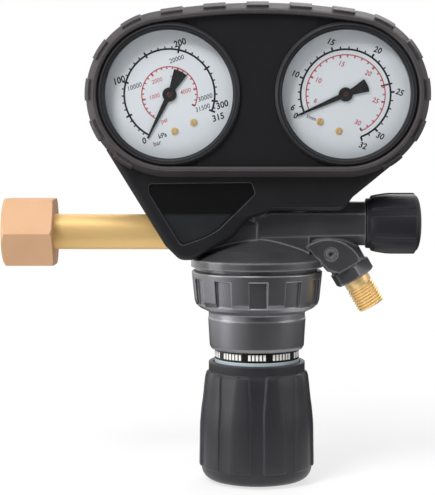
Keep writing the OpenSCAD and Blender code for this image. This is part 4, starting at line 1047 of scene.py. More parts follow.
class DialPrint:
    """Gathers the flat shapes of one ink on one dial into a mesh.

    Attributes:
        thickness: How thick the print is, in metres.
        arc_step: About how many degrees one piece of an arc spans.
        type_size: The size of the type for characters one unit high.
        spacing: How far apart characters stand.
        narrow: The width of the characters as a share of the type's own.
        slant: How far the characters lean for each unit of height.
        smoothness: How many pieces a curve of the type is cut into.
    """

    thickness = 0.015 * MM
    arc_step = 2.5
    type_size = 1.38
    spacing = 1.02
    narrow = 0.92
    slant = 0.1
    smoothness = 3

    def __init__(self, gauge: "Gauge") -> None:
        """Starts empty, for the print on one gauge.

        Args:
            gauge: The gauge that the print lies on.
        """
        self.gauge = gauge
        self.points: list[Triple] = []
        self.faces: list[tuple[int, ...]] = []

    def strip(self, inner: Sequence[Flat], outer: Sequence[Flat]) -> None:
        """Adds a strip between two lines of points on the dial.

        Args:
            inner: The first line's points in millimetres.
            outer: The second line's points, as many.
        """
        start = len(self.points)
        for near, far in zip(inner, outer):
            self.points.append(self.gauge.on_face(*near))
            self.points.append(self.gauge.on_face(*far))
        for place in range(len(inner) - 1):
            first = start + 2 * place
            self.faces.append((first, first + 2, first + 3, first + 1))

    def arc(self, radius: float, width: float, start: float, end: float) -> None:
        """Adds an arc.

        Args:
            radius: Its middle radius in millimetres.
            width: Its width.
            start: Its first angle in degrees.
            end: Its last angle.
        """
        steps = max(8, round((end - start) / self.arc_step))
        angles = [math.radians(start + (end - start) * i / steps) for i in range(steps + 1)]
        self.strip(*[[(r * math.sin(a), r * math.cos(a)) for a in angles]
                     for r in (radius - width / 2, radius + width / 2)])

    def mark(self, angle: float, inner: float, outer: float, width: float) -> None:
        """Adds a straight mark across a scale.

        Args:
            angle: Its angle in degrees.
            inner: Its inner radius in millimetres.
            outer: Its outer radius.
            width: Its width.
        """
        turn = math.radians(angle)
        out = (math.sin(turn), math.cos(turn))
        side = (math.cos(turn) * width / 2, -math.sin(turn) * width / 2)
        self.strip(*[[(r * out[0] + s * side[0], r * out[1] + s * side[1]) for r in (inner, outer)]
                     for s in (-1, 1)])

    def legend(self, legend: Legend) -> None:
        """Adds a number or unit.

        Args:
            legend: What is printed, and where.
        """
        text = bpy.data.curves.new("legend", "FONT")
        text.body = legend.words
        text.size = legend.height * self.type_size
        text.offset = legend.weight
        text.space_character = self.spacing
        text.align_x = "CENTER"
        text.align_y = "CENTER"
        text.resolution_u = self.smoothness
        holder = bpy.data.objects.new("legend", text)
        mesh = bpy.data.meshes.new_from_object(holder)
        turn = math.radians(legend.angle)
        middle = (legend.radius * math.sin(turn), legend.radius * math.cos(turn))
        start = len(self.points)
        for vertex in mesh.vertices:
            across = vertex.co.x * self.narrow + vertex.co.y * self.slant
            self.points.append(self.gauge.on_face(middle[0] + across, middle[1] + vertex.co.y))
        for polygon in mesh.polygons:
            self.faces.append(tuple(start + i for i in polygon.vertices))
        bpy.data.objects.remove(holder)
        bpy.data.curves.remove(text)
        bpy.data.meshes.remove(mesh)

    def mesh(self, name: str) -> bpy.types.Mesh:
        """The gathered print, as a thin closed skin.

        Args:
            name: The mesh's name.

        Returns:
            The new mesh.
        """
        mesh = bpy.data.meshes.new(name)
        mesh.from_pydata(self.points, [], self.faces)
        mesh.validate()
        shape = bmesh.new()
        shape.from_mesh(mesh)
        for face in shape.faces:
            face.normal_update()
            if face.normal.y > 0:
                face.normal_flip()
        bmesh.ops.solidify(shape, geom=shape.faces[:], thickness=self.thickness)
        shape.to_mesh(mesh)
        shape.free()
        mesh.update()
        return mesh


@dataclass
class Gauge:
    """A gauge's dial face.

    Attributes:
        name: The prefix of its nodes.
        roll: How far it is rolled, in degrees counterclockwise.
        scales: Its scales.
        legends: Its numbers and units.
        limit: The angle, inner and outer radius of its limit mark.
        screws: The angles of its two screws.
        limit_width: The width of the limit mark.
        screw_ring: How far the screws lie from the dial's centre.
        screw_radius: The radius of a screw's head.
        screw_steps: How many points go round a screw's head.
        screw_dome: The share of the radius and the height of each ring of a screw's head.
        slot: Half the width and the depth of the slot in a screw.
        slot_share: The share of the head's radius that the slot stays within.
    """

    name: str
    roll: float
    scales: Sequence[Scale]
    legends: Sequence[Legend]
    limit: Triple
    screws: Flat
    limit_width: float = 0.75
    screw_ring: float = 16.4
    screw_radius: float = 1.65
    screw_steps: int = 32
    screw_dome: Sequence[Flat] = (
        (1.0, 0.0), (1.0, 0.35), (0.93, 0.55), (0.75, 0.68), (0.45, 0.75), (0.02, 0.78))
    slot: Flat = (0.28, 0.35)
    slot_share: float = 0.95

    def __post_init__(self) -> None:
        """Reads the dial's centre and face from the frame."""
        low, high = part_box(f"{self.name}_dial")
        self.centre = (low + high) / 2
        self.face_y = low.y

    def on_face(self, across: float, up: float, lift: float = 0.02) -> Triple:
        """A point on the dial.

        Args:
            across: Millimetres to the right, on the dial's own level.
            up: Millimetres upwards, on the dial's own level.
            lift: Millimetres in front of the dial.

        Returns:
            The point in the row frame.
        """
        turn = math.radians(self.roll)
        x = across * math.cos(turn) - up * math.sin(turn)
        z = across * math.sin(turn) + up * math.cos(turn)
        return self.centre.x + x * MM, self.face_y - lift * MM, self.centre.z + z * MM

    def build(self, shop: Workshop) -> None:
        """Prints the dial and sets its screws.

        Args:
            shop: Where the pieces are finished.
        """
        prints: dict[Ink, DialPrint] = {}
        for scale in self.scales:
            ink = prints.setdefault(scale.ink, DialPrint(self))
            ink.arc(scale.radius, scale.width, scale.anchors[0][1], scale.anchors[-1][1])
            self._marks(ink, scale)
        for legend in self.legends:
            prints.setdefault(legend.ink, DialPrint(self)).legend(legend)
        prints.setdefault(Ink.DARK_RED, DialPrint(self)).mark(*self.limit, self.limit_width)
        for ink, gathered in prints.items():
            name = f"{self.name}_{ink.value}"
            shop.piece(name, gathered.mesh(name), ink.value, "body")
        for place, angle in enumerate(self.screws):
            name = f"{self.name}_dial_screw_{place + 1}"
            shop.piece(name, self._screw(name, angle), "polished_brass", "body")

    @staticmethod
    def _marks(ink: DialPrint, scale: Scale) -> None:
        """Adds a scale's minor and major marks, with a major one at each end.

        Args:
            ink: Where the marks go.
            scale: The scale.
        """
        count = math.floor((scale.last - scale.minor_from) / scale.minor_step + ROUNDING)
        values = [scale.minor_from + step * scale.minor_step for step in range(count + 1)]
        marks = []
        for value in values:
            majors = value / scale.major_step
            marks.append((value, abs(majors - round(majors)) < ROUNDING))
        marks += [(scale.anchors[0][0], True), (scale.last, True)]
        for value, major in marks:
            reach = scale.major if major else scale.minor
            width = scale.major_width if major else scale.minor_width
            ink.mark(scale.angle(value), scale.radius + reach[0], scale.radius + reach[1], width)

    def _screw(self, name: str, angle: float) -> bpy.types.Mesh:
        """A low round-headed screw with a slot.

        Args:
            name: The mesh's name.
            angle: Its angle on the dial in degrees.

        Returns:
            The new mesh.
        """
        turn = math.radians(angle)
        middle = (self.screw_ring * math.sin(turn), self.screw_ring * math.cos(turn))
        slot_half, slot_depth = self.slot
        rows = []
        for share, lift in self.screw_dome:
            row = []
            for way in wheel(self.screw_steps):
                x = share * self.screw_radius * math.sin(way)
                z = share * self.screw_radius * math.cos(way)
                sunk = slot_depth if abs(x) < slot_half and share < self.slot_share else 0.0
                row.append(Vector(self.on_face(middle[0] + x, middle[1] + z, lift - sunk)))
            rows.append(row)
        return grid_mesh(name, rows)


@dataclass(frozen=True)
class Threaded:
    """A thread form on a cylinder.

    Attributes:
        crest: The crest radius in millimetres.
        depth: The depth of the thread; below zero for an inner thread.
        pitch: The pitch.
        flank: The share of the pitch where a flank starts, and the share that it takes.
        rings_per_turn: How many rings of points one pitch has.
    """

    crest: float
    depth: float
    pitch: float
    flank: Flat = (0.1, 0.8)
    rings_per_turn: int = 8

    def radius(self, along: float, turn: float) -> float:
        """The radius of the thread's surface.

        Args:
            along: Millimetres along the axis.
            turn: The angle about the axis, in radians.

        Returns:
            The radius in millimetres.
        """
        phase = (along / self.pitch - turn / (2 * math.pi)) % 1.0
        ridge = abs(2 * phase - 1)
        start, length = self.flank
        return self.crest - self.depth * min(1.0, max(0.0, (ridge - start) / length))

    def rings(self, length: float) -> int:
        """How many rings of points a length of thread takes."""
        return self.rings_per_turn * math.ceil(length / self.pitch)


@dataclass
class OutletNipple:
    """The brass outlet nipple with its male thread.

    Attributes:
        start: Where the outlet's axis begins, in millimetres.
        slope: The angle of the axis below the level, in degrees.
        low: Where the nipple begins inside its collar, along the axis.
        shoulder: Where it leaves its collar.
        neck: The length of the plain neck.
        length: The length of the thread.
        outer: The radius inside the collar.
        neck_radius: The radius of the plain neck.
        root: The radius at the thread's roots.
        run: The length over which the thread runs in, and is chamfered at its end.
        bore: The radius of the bore.
        mouth: The radius of the end face's rim, and how much wider than the bore its cone is.
        cone: The length of the cone inside the mouth.
        thread: The thread.
        steps: How many points go round.
    """

    start: Triple = (145.5, 0.0, 4.0)
    slope: float = 59.8
    low: float = 14.9
    shoulder: float = 28.8
    neck: float = 3.7
    length: float = 11.0
    outer: float = 6.5
    neck_radius: float = 6.08
    root: float = 5.76
    run: float = 0.9
    bore: float = 3.5
    mouth: Flat = (5.3, 1.4)
    cone: float = 2.4
    thread: Threaded = Threaded(6.58, 0.82, 1.337)
    steps: int = 96

    def _threaded(self, along: float, way: float) -> float:
        """The radius of the thread, with its run-in and its chamfered end.

        Args:
            along: Millimetres along the axis.
            way: The angle about the axis, in radians.

        Returns:
            The radius in millimetres.
        """
        begin = self.shoulder + self.neck
        share = min(1.0, (along - begin) / self.run)
        fall = max(0.0, along - (begin + self.length - self.run))
        cut = self.root + (self.thread.radius(along, way) - self.root) * share
        return min(cut, self.outer - fall)

    def _profile(self) -> list[tuple[float, float | None]]:
        """The rings from the collar to the mouth and back through the bore.

        Returns:
            The place along the axis and the radius of each ring, or None where the thread is.
        """
        begin = self.shoulder + self.neck
        end = begin + self.length
        count = self.thread.rings(self.length)
        rings: list[tuple[float, float | None]] = [
            (self.low, self.bore), (self.low, self.outer), (self.shoulder, self.outer),
            (self.shoulder, self.neck_radius), (begin - 0.5, self.neck_radius),
            (begin - 0.1, self.neck_radius - 0.3)]
        rings += [(begin + (self.length - 0.05) * ring / count, None) for ring in range(count + 1)]
        rim, wider = self.mouth
        return rings + [(end, rim), (end, self.bore + wider), (end - 0.2, self.bore + wider - 0.2),
                        (end - self.cone, self.bore), (self.low, self.bore)]

    def build(self, shop: Workshop) -> None:
        """Builds the nipple in place of its plain solid.

        Args:
            shop: Where the piece is finished.
        """
        slope = math.radians(self.slope)
        axis = Vector((math.cos(slope), 0, -math.sin(slope)))
        side = Vector((0, 1, 0))
        up = axis.cross(side)
        rows = []
        for along, plain in self._profile():
            row = []
            for way in wheel(self.steps):
                radius = self._threaded(along, way) if plain is None else plain
                out = side * math.cos(way) + up * math.sin(way)
                row.append((Vector(self.start) + axis * along + out * radius) * MM)
            rows.append(row)
        mesh = grid_mesh("outlet_nipple_threaded", rows)
        shop.piece("outlet_nipple_threaded", mesh, "polished_brass", "body", ["outlet_nipple"],
                   smooth=50)


@dataclass
class UnionNut:
    """The hexagonal inlet nut with its chamfers and inner thread.

    Attributes:
        flats: The width across its flats.
        length: Its length.
        thread: The inner thread.
        thread_end: Where the thread ends.
        hole: The radius of the hole for the tube.
        shoulder: Where the shoulder for the stem's collar lies.
        front: How far inside the corners the front chamfer starts, and its rise for each
            millimetre of length.
        back: The same for the back chamfer.
        mouth: How much wider than the thread the mouth is, and the same at its inner end.
        mouth_end: Where the mouth ends.
        thread_start: Where the thread starts.
        run: Where the thread's run-in starts, and how long it is.
        steps: How many points go round.
    """

    flats: float = 30.0
    length: float = 23.0
    thread: Threaded = Threaded(9.75, -1.1, 1.814)
    thread_end: float = 13.0
    hole: float = 8.05
    shoulder: float = 18.0
    front: Flat = (2.4, 2.6 / 1.68)
    back: Flat = (1.2, 1.4)
    mouth: Flat = (1.25, 0.35)
    mouth_end: float = 0.9
    thread_start: float = 1.0
    run: Flat = (0.8, 1.4)
    steps: int = 120

    def _side(self, way: float) -> float:
        """The distance from the axis to the hexagon at an angle."""
        part = (way + math.pi / 6) % (math.pi / 3) - math.pi / 6
        return self.flats / 2 / math.cos(part)

    def _chamfer(self, way: float, cut: Flat) -> Flat:
        """Where a chamfer starts on its end face and where it meets the hexagon.

        Args:
            way: The angle about the axis, in radians.
            cut: The chamfer's start inside the corners and its rise.

        Returns:
            The radius where it starts, and how far from the end face it meets the hexagon.
        """
        inner = self.flats / 2 / math.cos(math.pi / 6) - cut[0]
        side = self._side(way)
        return min(inner, side), max(0.0, (side - inner) / cut[1])

    def _outside(self, way: float) -> list[Flat]:
        """The points from the hole's edge at the back round to the mouth, at one angle.

        Args:
            way: The angle about the axis, in radians.

        Returns:
            The place along the axis and the radius of each point.
        """
        back, behind = self._chamfer(way, self.back)
        front, ahead = self._chamfer(way, self.front)
        side = self._side(way)
        return [(self.length, self.hole), (self.length, back), (self.length - behind, side),
                (ahead, side), (0.0, front)]

    def _inside(self, way: float) -> list[Flat]:
        """The points from the mouth through the thread to the hole, at one angle.

        Args:
            way: The angle about the axis, in radians.

        Returns:
            The place along the axis and the radius of each point.
        """
        core, room = self.thread.crest, self.thread.crest - self.thread.depth
        points = [(0.0, core + self.mouth[0]), (self.mouth_end, core + self.mouth[1])]
        count = self.thread.rings(self.thread_end)
        for ring in range(count + 1):
            along = self.thread_start + (self.thread_end - self.thread_start) * ring / count
            share = min(1.0, (along - self.run[0]) / self.run[1])
            points.append((along, core + (self.thread.radius(along, way) - core) * share))
        return points + [(self.thread_end, room), (self.shoulder, room),
                         (self.shoulder, self.hole), (self.length, self.hole)]

    def build(self, shop: Workshop) -> None:
        """Builds the nut in place of its plain solid.

        Args:
            shop: Where the piece is finished.
        """
        lines = []
        for way in wheel(self.steps):
            round_axis = way + math.pi / 2
            lines.append([
                Vector((along, radius * math.cos(round_axis), radius * math.sin(round_axis))) * MM
                for along, radius in self._outside(way) + self._inside(way)])
        mesh = grid_mesh("inlet_nut_threaded", list(zip(*lines)))
        shop.piece("inlet_nut_threaded", mesh, "nut_brass", "nut", ["inlet_nut"], smooth=28)


@dataclass
class LabelPanel:
    """The stippled panel in the lower part of the label field.

    Attributes:
        centre_x: The regulator's axis.
        top: The height of the line between the panel and the plate above it.
        back: How far the panel's back lies in front of the stem plane.
        front: How far its front lies there.
        edge: The width of its chamfer.
        corners: Where its two upper corners lie, from the regulator's axis.
        foot: Its lower corners, from the left side to the right one.
    """

    centre_x: float = 115.0
    top: float = 8.7
    back: float = 17.02
    front: float = 17.4
    edge: float = 0.2
    corners: Flat = (-11.2, -41.9)
    foot: Sequence[Flat] = (
        (-34.6, -3.3), (-33.2, -4.4), (-31.6, -4.2), (-24.2, -1.5), (-20.6, 0.1), (-16.9, 2.9))

    def build(self, shop: Workshop) -> None:
        """Builds the panel.

        Args:
            shop: Where the piece is finished.
        """
        outline = [(left, self.top) for left in self.corners] + list(self.foot)
        levels = [(outline, self.back), (outline, self.front - self.edge),
                  (inset(outline, self.edge), self.front)]
        rows = [[Vector((self.centre_x + x, -depth, z)) * MM for x, z in ring]
                for ring, depth in levels]
        book = MeshBook()
        book.rings(rows, capped=True)
        name = "label_panel_stippled"
        shop.piece(name, book.mesh(name), "label_stipple", "body")


@dataclass
class Pointer:
    """A gauge's pointer with its hub, in place of the plain one.

    Attributes:
        name: The prefix of the gauge's nodes.
        clock: Where the tip points at rest, in degrees clockwise from straight up.
        tip: The reach of the tip in millimetres.
        tail: The reach of the tail.
        tail_width: The width of the tail's end.
        low: How far the blade's back lies in front of the stem plane.
        blade: The height of the blade's sides, its thickness and the width of its chamfer.
        tip_half: Half the width of the tip.
        root: How far from the axis the tapers end, and half the blade's width there towards
            the tip and towards the tail.
        tail_pieces: How many pieces the tail's arc is cut into.
        hub: The radius and the height over the blade's back of each ring of the hub.
        bush: The same for the bush.
        arbor: The same for the arbor's end.
        steps: How many points go round the turned parts.
    """

    name: str
    clock: float
    tip: float
    tail: float
    tail_width: float
    low: float = 16.2
    blade: Triple = (0.4, 0.5, 0.08)
    tip_half: float = 0.3
    root: Triple = (2.6, 1.2, 1.3)
    tail_pieces: int = 8
    hub: Sequence[Flat] = (
        (1.25, -0.2), (3.15, -0.2), (3.15, 0.55), (3.03, 0.72), (2.75, 0.8), (1.5, 0.8),
        (1.35, 0.7), (1.25, 0.5), (1.25, -0.2))
    bush: Sequence[Flat] = (
        (0.6, 0.0), (1.22, 0.0), (1.22, 0.7), (1.1, 0.84), (0.9, 0.88), (0.75, 0.8), (0.6, 0.7),
        (0.6, 0.0))
    arbor: Sequence[Flat] = ((0.58, 0.1), (0.58, 0.8), (0.45, 0.93), (0.2, 0.97))
    steps: int = 48

    def __post_init__(self) -> None:
        """Reads the pointer's axis from the frame."""
        low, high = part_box(f"{self.name}_dial")
        self.axis = (low + high) / 2 / MM

    def _point(self, along: float, across: float, height: float) -> Vector:
        """A point of the pointer, in metres.

        Args:
            along: Millimetres from the axis towards the tip.
            across: Millimetres to the side.
            height: Millimetres over the blade's back.

        Returns:
            The point in the row frame.
        """
        turn = math.radians(self.clock)
        x = self.axis.x + along * math.sin(turn) + across * math.cos(turn)
        z = self.axis.z + along * math.cos(turn) - across * math.sin(turn)
        return Vector((x, -(self.low + height), z)) * MM

    def _outline(self) -> list[Flat]:
        """The blade's corners, with an arc at the end of the tail.

        Returns:
            The corners, along and across the pointer, counterclockwise.
        """
        half = math.asin(self.tail_width / 2 / self.tail)
        arc = [half * (1 - 2 * step / self.tail_pieces) for step in range(self.tail_pieces + 1)]
        reach, front, rear = self.root
        return ([(self.tip, -self.tip_half), (self.tip, self.tip_half), (reach, front),
                 (-reach, rear)]
                + [(-self.tail * math.cos(a), self.tail * math.sin(a)) for a in arc]
                + [(-reach, -rear), (reach, -front)])

    def _turned(self, profile: Sequence[Flat]) -> list[list[Vector]]:
        """Rings about the pointer's axis.

        Args:
            profile: The radius and the height over the blade's back of each ring.

        Returns:
            The rings.
        """
        return [[self._point(radius * math.cos(way), radius * math.sin(way), height)
                 for way in wheel(self.steps)] for radius, height in profile]

    def build(self, shop: Workshop) -> None:
        """Builds the blade with its hub, the bush and the arbor's end.

        Args:
            shop: Where the pieces are finished.
        """
        body = f"{self.name}_pointer_set"
        outline = self._outline()
        sides, thickness, chamfer = self.blade
        blade = MeshBook()
        blade.rings([[self._point(x, y, height) for x, y in ring] for ring, height in (
            (outline, 0.0), (outline, sides), (inset(outline, chamfer), thickness))], capped=True)
        blade.rings(self._turned(self.hub))
        name = f"{self.name}_pointer_blade"
        shop.piece(name, blade.mesh(name), "pointer_black", body, [f"{self.name}_pointer"])
        name = f"{self.name}_pointer_bush"
        shop.piece(name, grid_mesh(name, self._turned(self.bush)), "bush_copper", body)
        arbor = MeshBook()
        arbor.rings(self._turned(self.arbor), capped=True)
        name = f"{self.name}_arbor_end"
        shop.piece(name, arbor.mesh(name), "case_steel", body)


@dataclass(frozen=True)
class Pads:
    """Raised pads round a knob.

    Attributes:
        count: How many go round.
        raised: How far they stand proud, in millimetres.
        side: The way out from a pad's side and the share of its height, from foot to top.
        least: The smallest radius at which the side keeps its width.
    """

    count: int
    raised: float
    side: Sequence[Flat] = ((0.5, 0.0), (0.2, 0.1), (0.06, 0.5), (-0.1, 0.86), (-0.5, 1.0))
    least: float = 6.0

    def ring(self, base: float, half: float, share: float) -> list[Flat]:
        """The points of one ring.

        Args:
            base: The radius between the pads in millimetres.
            half: Half the width of a pad in degrees.
            share: How much of the pads' height stands at this ring.

        Returns:
            The angle from the first pad's middle, in radians, and the radius of each point.
        """
        period = 360 / self.count
        right = [(half + math.degrees(out / max(base, self.least)), height)
                 for out, height in self.side]
        top = right[-1][0] / 2
        part = ([(-period / 2, 0.0)] + [(-angle, height) for angle, height in right]
                + [(-top, 1.0), (0.0, 1.0), (top, 1.0)] + right[::-1])
        return [(math.radians(turn * period + angle), base + self.raised * share * height)
                for turn in range(self.count) for angle, height in part]

    def mesh(self, name: str, levels: Sequence[Level], first: float,
             point: Callable[[float, float, float], Vector]) -> bpy.types.Mesh:
        """A knob with the pads.

        Args:
            name: The mesh's name.
            levels: The place along the axis, the radius between the pads, half the width of a
                pad in degrees and the share of the pads' height of each ring.
            first: The angle of the first pad's middle from the front, in degrees.
            point: The knob's own function from millimetres along the axis, across it and in
                front of it to a point.

        Returns:
            The new mesh.
        """
        rows = []
        for along, base, half, share in levels:
            row = []
            for turn, radius in self.ring(base, half, share):
                way = math.radians(first) + turn
                row.append(point(along, radius * math.sin(way), radius * math.cos(way)) * MM)
            rows.append(row)
        book = MeshBook()
        book.rings(rows, looped=True)
        return book.mesh(name)


@dataclass
class PressureKnob:
    """The pressure knob with its long tapering pads and plain collar.

    Attributes:
        centre_x: The regulator's axis.
        first: The angle of the first pad's middle from the front, in degrees towards the outlet.
        pads: The pads.
        collar: The height and radius of the rings above the pads.
        reach: The height and radius of the pads' tops, downwards.
        rim: The height and radius of the rings below the pads, and back up through the bore.
        narrow: Half a pad's width at its upper end, in degrees.
        wide: Half a pad's width from the height where the taper ends.
        taper: The heights where the taper starts and ends.
    """

    centre_x: float = 115.0
    first: float = 18.75
    pads: Pads = Pads(10, 0.95)
    collar: Sequence[Flat] = ((-59.0, 21.7), (-59.3, 22.0), (-63.3, 22.0))
    reach: Sequence[Flat] = (
        (-64.6, 23.25), (-65.7, 23.6), (-69.3, 24.05), (-73.0, 24.4), (-76.6, 24.8), (-80.0, 25.3),
        (-83.9, 25.7), (-87.5, 26.0), (-91.0, 26.1), (-98.0, 26.2), (-102.0, 26.3),
        (-106.2, 26.35))
    rim: Sequence[Flat] = (
        (-107.8, 25.35), (-109.0, 25.1), (-110.3, 24.6), (-111.4, 23.9), (-112.3, 22.9),
        (-113.0, 21.7), (-113.4, 20.2), (-113.5, 18.5), (-113.5, 17.3), (-113.3, 17.05),
        (-110.45, 17.05), (-110.45, 9.0), (-97.5, 9.0), (-97.5, 6.05), (-69.0, 6.05),
        (-69.0, 19.8), (-59.2, 19.8), (-59.0, 20.0))
    narrow: float = 7.8
    wide: float = 11.5
    taper: Flat = (-63.7, -80.0)

    def _half(self, height: float) -> float:
        """Half a pad's width at a height.

        Args:
            height: The height in millimetres.

        Returns:
            Half the width in degrees.
        """
        start, end = self.taper
        share = min(1.0, max(0.0, (height - start) / (end - start)))
        return self.narrow + (self.wide - self.narrow) * share

    def _levels(self) -> list[Level]:
        """The knob's rings, from its upper edge down, round its end and back up inside.

        Returns:
            The height, radius between the pads, half pad width and share of the pads' height
            of each ring.
        """
        narrow, wide = self.narrow, self.wide
        levels = [(z, radius, narrow, 0.0) for z, radius in self.collar]
        levels += [(-63.5, 21.95, narrow - 0.9, 0.0), (-63.55, 21.95, narrow - 0.8, 0.45),
                   (-63.8, 22.0, narrow - 0.3, 0.84), (-64.2, 22.15, narrow, 1.0)]
        levels += [(z, radius - self.pads.raised, self._half(z), 1.0) for z, radius in self.reach]
        levels += [(-106.7, 25.4, wide - 0.3, 0.86), (-106.95, 25.4, wide - 0.8, 0.45),
                   (-107.0, 25.4, wide - 0.9, 0.0)]
        return levels + [(z, radius, wide, 0.0) for z, radius in self.rim]

    def _point(self, height: float, across: float, ahead: float) -> Vector:
        """A point of the knob, in millimetres, from its height and its place about the axis."""
        return Vector((self.centre_x + across, -ahead, height))

    def build(self, shop: Workshop) -> None:
        """Builds the knob in place of its plain solid.

        Args:
            shop: Where the piece is finished.
        """
        name = "pressure_knob_padded"
        mesh = self.pads.mesh(name, self._levels(), self.first, self._point)
        shop.piece(name, mesh, "knob_plastic", "knob", ["pressure_knob"], smooth=32)


@dataclass
class ShutoffKnob:
    """The shut-off knob with its pads, collar and domed end.

    Attributes:
        height: The height of the arm's axis.
        start: Where the knob begins along the arm, in millimetres.
        first: The angle of the first pad's middle from the front, in degrees upwards.
        half: Half a pad's width in degrees.
        pads: The pads.
        collar: The place along the axis and the radius of the rings before the pads.
        crown: The same between the pads, where these have their full height.
        rim: The same beyond the pads, and back through the bore.
    """

    height: float = 4.0
    start: float = 164.2
    first: float = -4.4
    half: float = 21.4
    pads: Pads = Pads(6, 0.9)
    collar: Sequence[Flat] = ((0.0, 10.9), (0.3, 11.3), (1.95, 11.4))
    crown: Sequence[Flat] = (
        (2.8, 11.75), (4.5, 12.15), (6.6, 12.5), (9.0, 12.85), (11.5, 13.0), (16.0, 13.0),
        (21.6, 13.0))
    rim: Sequence[Flat] = (
        (22.9, 12.65), (23.4, 12.1), (23.9, 11.2), (24.4, 9.6), (24.75, 7.8), (24.95, 5.8),
        (25.0, 3.7), (24.8, 3.4), (19.2, 3.4), (19.2, 1.35), (18.2, 1.35), (18.2, 3.05),
        (0.0, 3.05))

    def _levels(self) -> list[Level]:
        """The knob's rings, from the arm to its end and back inside.

        Returns:
            The place along the axis, radius between the pads, half pad width and share of the
            pads' height of each ring.
        """
        half = self.half
        levels = [(along, radius, half, 0.0) for along, radius in self.collar]
        levels += [(2.1, 11.5, half - 1.6, 0.0), (2.12, 11.5, half - 1.5, 0.45),
                   (2.35, 11.62, half - 0.6, 0.84)]
        levels += [(along, radius, half, 1.0) for along, radius in self.crown]
        levels += [(22.1, 13.0, half - 0.6, 0.84), (22.33, 12.98, half - 1.5, 0.45),
                   (22.35, 12.95, half - 1.6, 0.0)]
        return levels + [(along, radius, half, 0.0) for along, radius in self.rim]

    def _point(self, along: float, across: float, ahead: float) -> Vector:
        """A point of the knob, in millimetres, from its place along and about the axis."""
        return Vector((self.start + along, -ahead, self.height + across))

    def build(self, shop: Workshop) -> None:
        """Builds the knob in place of its plain solid.

        Args:
            shop: Where the piece is finished.
        """
        name = "shutoff_knob_padded"
        mesh = self.pads.mesh(name, self._levels(), self.first, self._point)
        shop.piece(name, mesh, "valve_knob_plastic", "shutoff_handle", ["shutoff_knob"],
                   smooth=32)


@dataclass
class NeckMarks:
    """Plain white bars in groups round the black neck band.

    Attributes:
        groups: The number of bars in each group of one repeat.
        repeats: How many repeats go round.
        gap: The gap after each group, in bar pitches.
        first: How many bar pitches before the front the first bar lies.
        filled: The width of a bar as a share of the pitch.
        height: The height of a bar in millimetres.
        raised: How far a bar stands on the band.
        sunk: How far it reaches into the band.
        pieces: How many flat pieces a bar's curve is cut into.
    """

    groups: Sequence[int] = (5, 6)
    repeats: int = 5
    gap: float = 1.6
    first: float = 2.0
    filled: float = 0.66
    height: float = 2.7
    raised: float = 0.04
    sunk: float = 0.02
    pieces: int = 3

    def build(self, shop: Workshop) -> None:
        """Prints the bars on the band.

        Args:
            shop: Where the piece is finished.
        """
        low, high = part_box("neck_band")
        middle = (low + high) / 2 / MM
        radius = (high.x - low.x) / 2 / MM
        slots = sum(self.groups) + self.gap * len(self.groups)
        pitch = 2 * math.pi / self.repeats / slots
        book = MeshBook()
        way = -math.pi / 2 - self.first * pitch
        for _ in range(self.repeats):
            for count in self.groups:
                for bar in range(count):
                    rows = self._bar(middle, radius, way + bar * pitch, pitch * self.filled)
                    book.rings(rows, capped=True)
                way += (count + self.gap) * pitch
        shop.piece("neck_marks", book.mesh("neck_marks"), "mark_white", "body")

    def _bar(self, middle: Vector, radius: float, way: float, width: float) -> list[list[Vector]]:
        """The rings of one upright bar.

        Args:
            middle: The band's middle in millimetres.
            radius: The band's radius.
            way: The bar's angle about the axis.
            width: Its width as an angle.

        Returns:
            The rings, each a section across the bar.
        """
        section = ((-self.sunk, -1), (-self.sunk, 1), (self.raised, 1), (self.raised, -1))
        rows = []
        for step in range(self.pieces + 1):
            turn = way + width * (step / self.pieces - 0.5)
            row = []
            for out, up in section:
                away = radius + out
                row.append(Vector((middle.x + away * math.cos(turn),
                                   middle.y + away * math.sin(turn),
                                   middle.z + up * self.height / 2)) * MM)
            rows.append(row)
        return rows


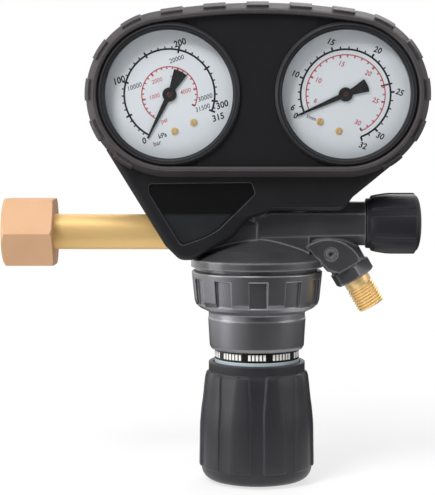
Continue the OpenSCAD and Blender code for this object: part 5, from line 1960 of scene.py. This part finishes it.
def supply_gauge() -> Gauge:
    """The gauge for the cylinder's pressure.

    Returns:
        The gauge with its scales and numbers.
    """
    outer = Scale(
        [(0, 225.0), (50, 260.6), (315, 489.3)], radius=20.1, width=0.85, minor_step=10,
        minor=(0.0, 1.2), major_step=50, major=(-1.3, 1.6), minor_from=0, ink=Ink.BLACK)
    inner = Scale(
        [(0, 225.0), (1000, 277.3), (4600, 492.0)], radius=12.3, width=0.5, minor_step=200,
        minor=(-1.0, 0.0), major_step=1000, major=(-1.5, 0.0), minor_from=0, ink=Ink.RED)
    legends = [Legend(str(value), outer.angle(value) + turn, radius, 2.85, 0.11, Ink.BLACK)
               for value, turn, radius in (
                   (100, 0, 23.2), (200, 0, 23.2), (300, 3, 23.9), (315, 4, 23.9))]
    legends += [Legend("0", 227.0, 23.4, 2.7, 0.12, Ink.BLACK)]
    legends += [Legend(str(value * 100), outer.angle(value) + turn, 15.9, 2.1, 0.02, Ink.BLACK)
                for value, turn in ((100, -3), (200, 0), (300, -3), (315, 1))]
    legends += [Legend(str(value), inner.angle(value) + turn, radius, 1.9, 0.02, Ink.RED)
                for value, turn, radius in (
                    (1000, 3, 6.7), (2000, -1, 8.2), (3000, 2, 8.3), (4000, 1, 7.3))]
    legends += [Legend("psi", 210.0, 11.8, 2.0, 0.05, Ink.RED),
                Legend("kPa", 208.0, 18.4, 2.1, 0.06, Ink.BLACK),
                Legend("bar", 212.5, 22.3, 2.1, 0.04, Ink.GREY)]
    return Gauge("supply", 18.3, [outer, inner], legends, limit=(outer.angle(200), 18.6, 21.9),
                 screws=(157.5, 190.2))


def flow_gauge() -> Gauge:
    """The gauge for the flow.

    Returns:
        The gauge with its scales and numbers.
    """
    outer = Scale(
        [(0, 225.0), (6, 234.0), (10, 270.0), (30, 478.0), (32, 499.0)], radius=19.9, width=0.85,
        minor_step=1, minor=(0.0, 1.3), major_step=5, major=(0.0, 1.8), minor_from=6,
        ink=Ink.BLACK)
    inner = Scale(
        [(0, 225.0), (6, 236.6), (10, 276.0), (30, 495.0)], radius=17.5, width=0.5,
        minor_step=1, minor=(-1.1, 0.0), major_step=5, major=(-1.4, 0.0), minor_from=6,
        ink=Ink.RED)
    legends = [Legend(str(value), outer.angle(value) + 1, 24.0, 2.7, 0.1, Ink.BLACK)
               for value in (6, 10, 15, 20, 25, 30, 32)]
    legends += [Legend("0", 225.8, 24.0, 2.7, 0.1, Ink.BLACK)]
    legends += [Legend(str(value), inner.angle(value) + 0.5, 13.6, 2.2, 0.06, Ink.RED)
                for value in (6, 10, 15, 20, 25, 30)]
    legends += [Legend("l/min", 214.5, 18.2, 1.7, 0.04, Ink.BLACK)]
    return Gauge("flow", -21.0, [outer, inner], legends, limit=(415.6, 16.0, 20.9),
                 screws=(169.0, 202.0))


def main() -> None:
    """Builds the camera, the studio, the finishes and every piece in order."""
    shop = Workshop()
    Camera().build()
    Studio(floor_z=CAD_BOX[0][2] - FLOOR_GAP).build()
    for entry in frame["record"]["subparts"]:
        shop.dress(frame["nodes"][entry["node"]], entry["material_slot"])
    supply_gauge().build(shop)
    flow_gauge().build(shop)
    Pointer("supply", clock=206.7, tip=21.5, tail=11.4, tail_width=6.3).build(shop)
    Pointer("flow", clock=246.5, tip=23.7, tail=10.5, tail_width=6.0).build(shop)
    PressureKnob().build(shop)
    ShutoffKnob().build(shop)
    NeckMarks().build(shop)
    OutletNipple().build(shop)
    UnionNut().build(shop)
    LabelPanel().build(shop)


if __name__ == "__main__":
    main()
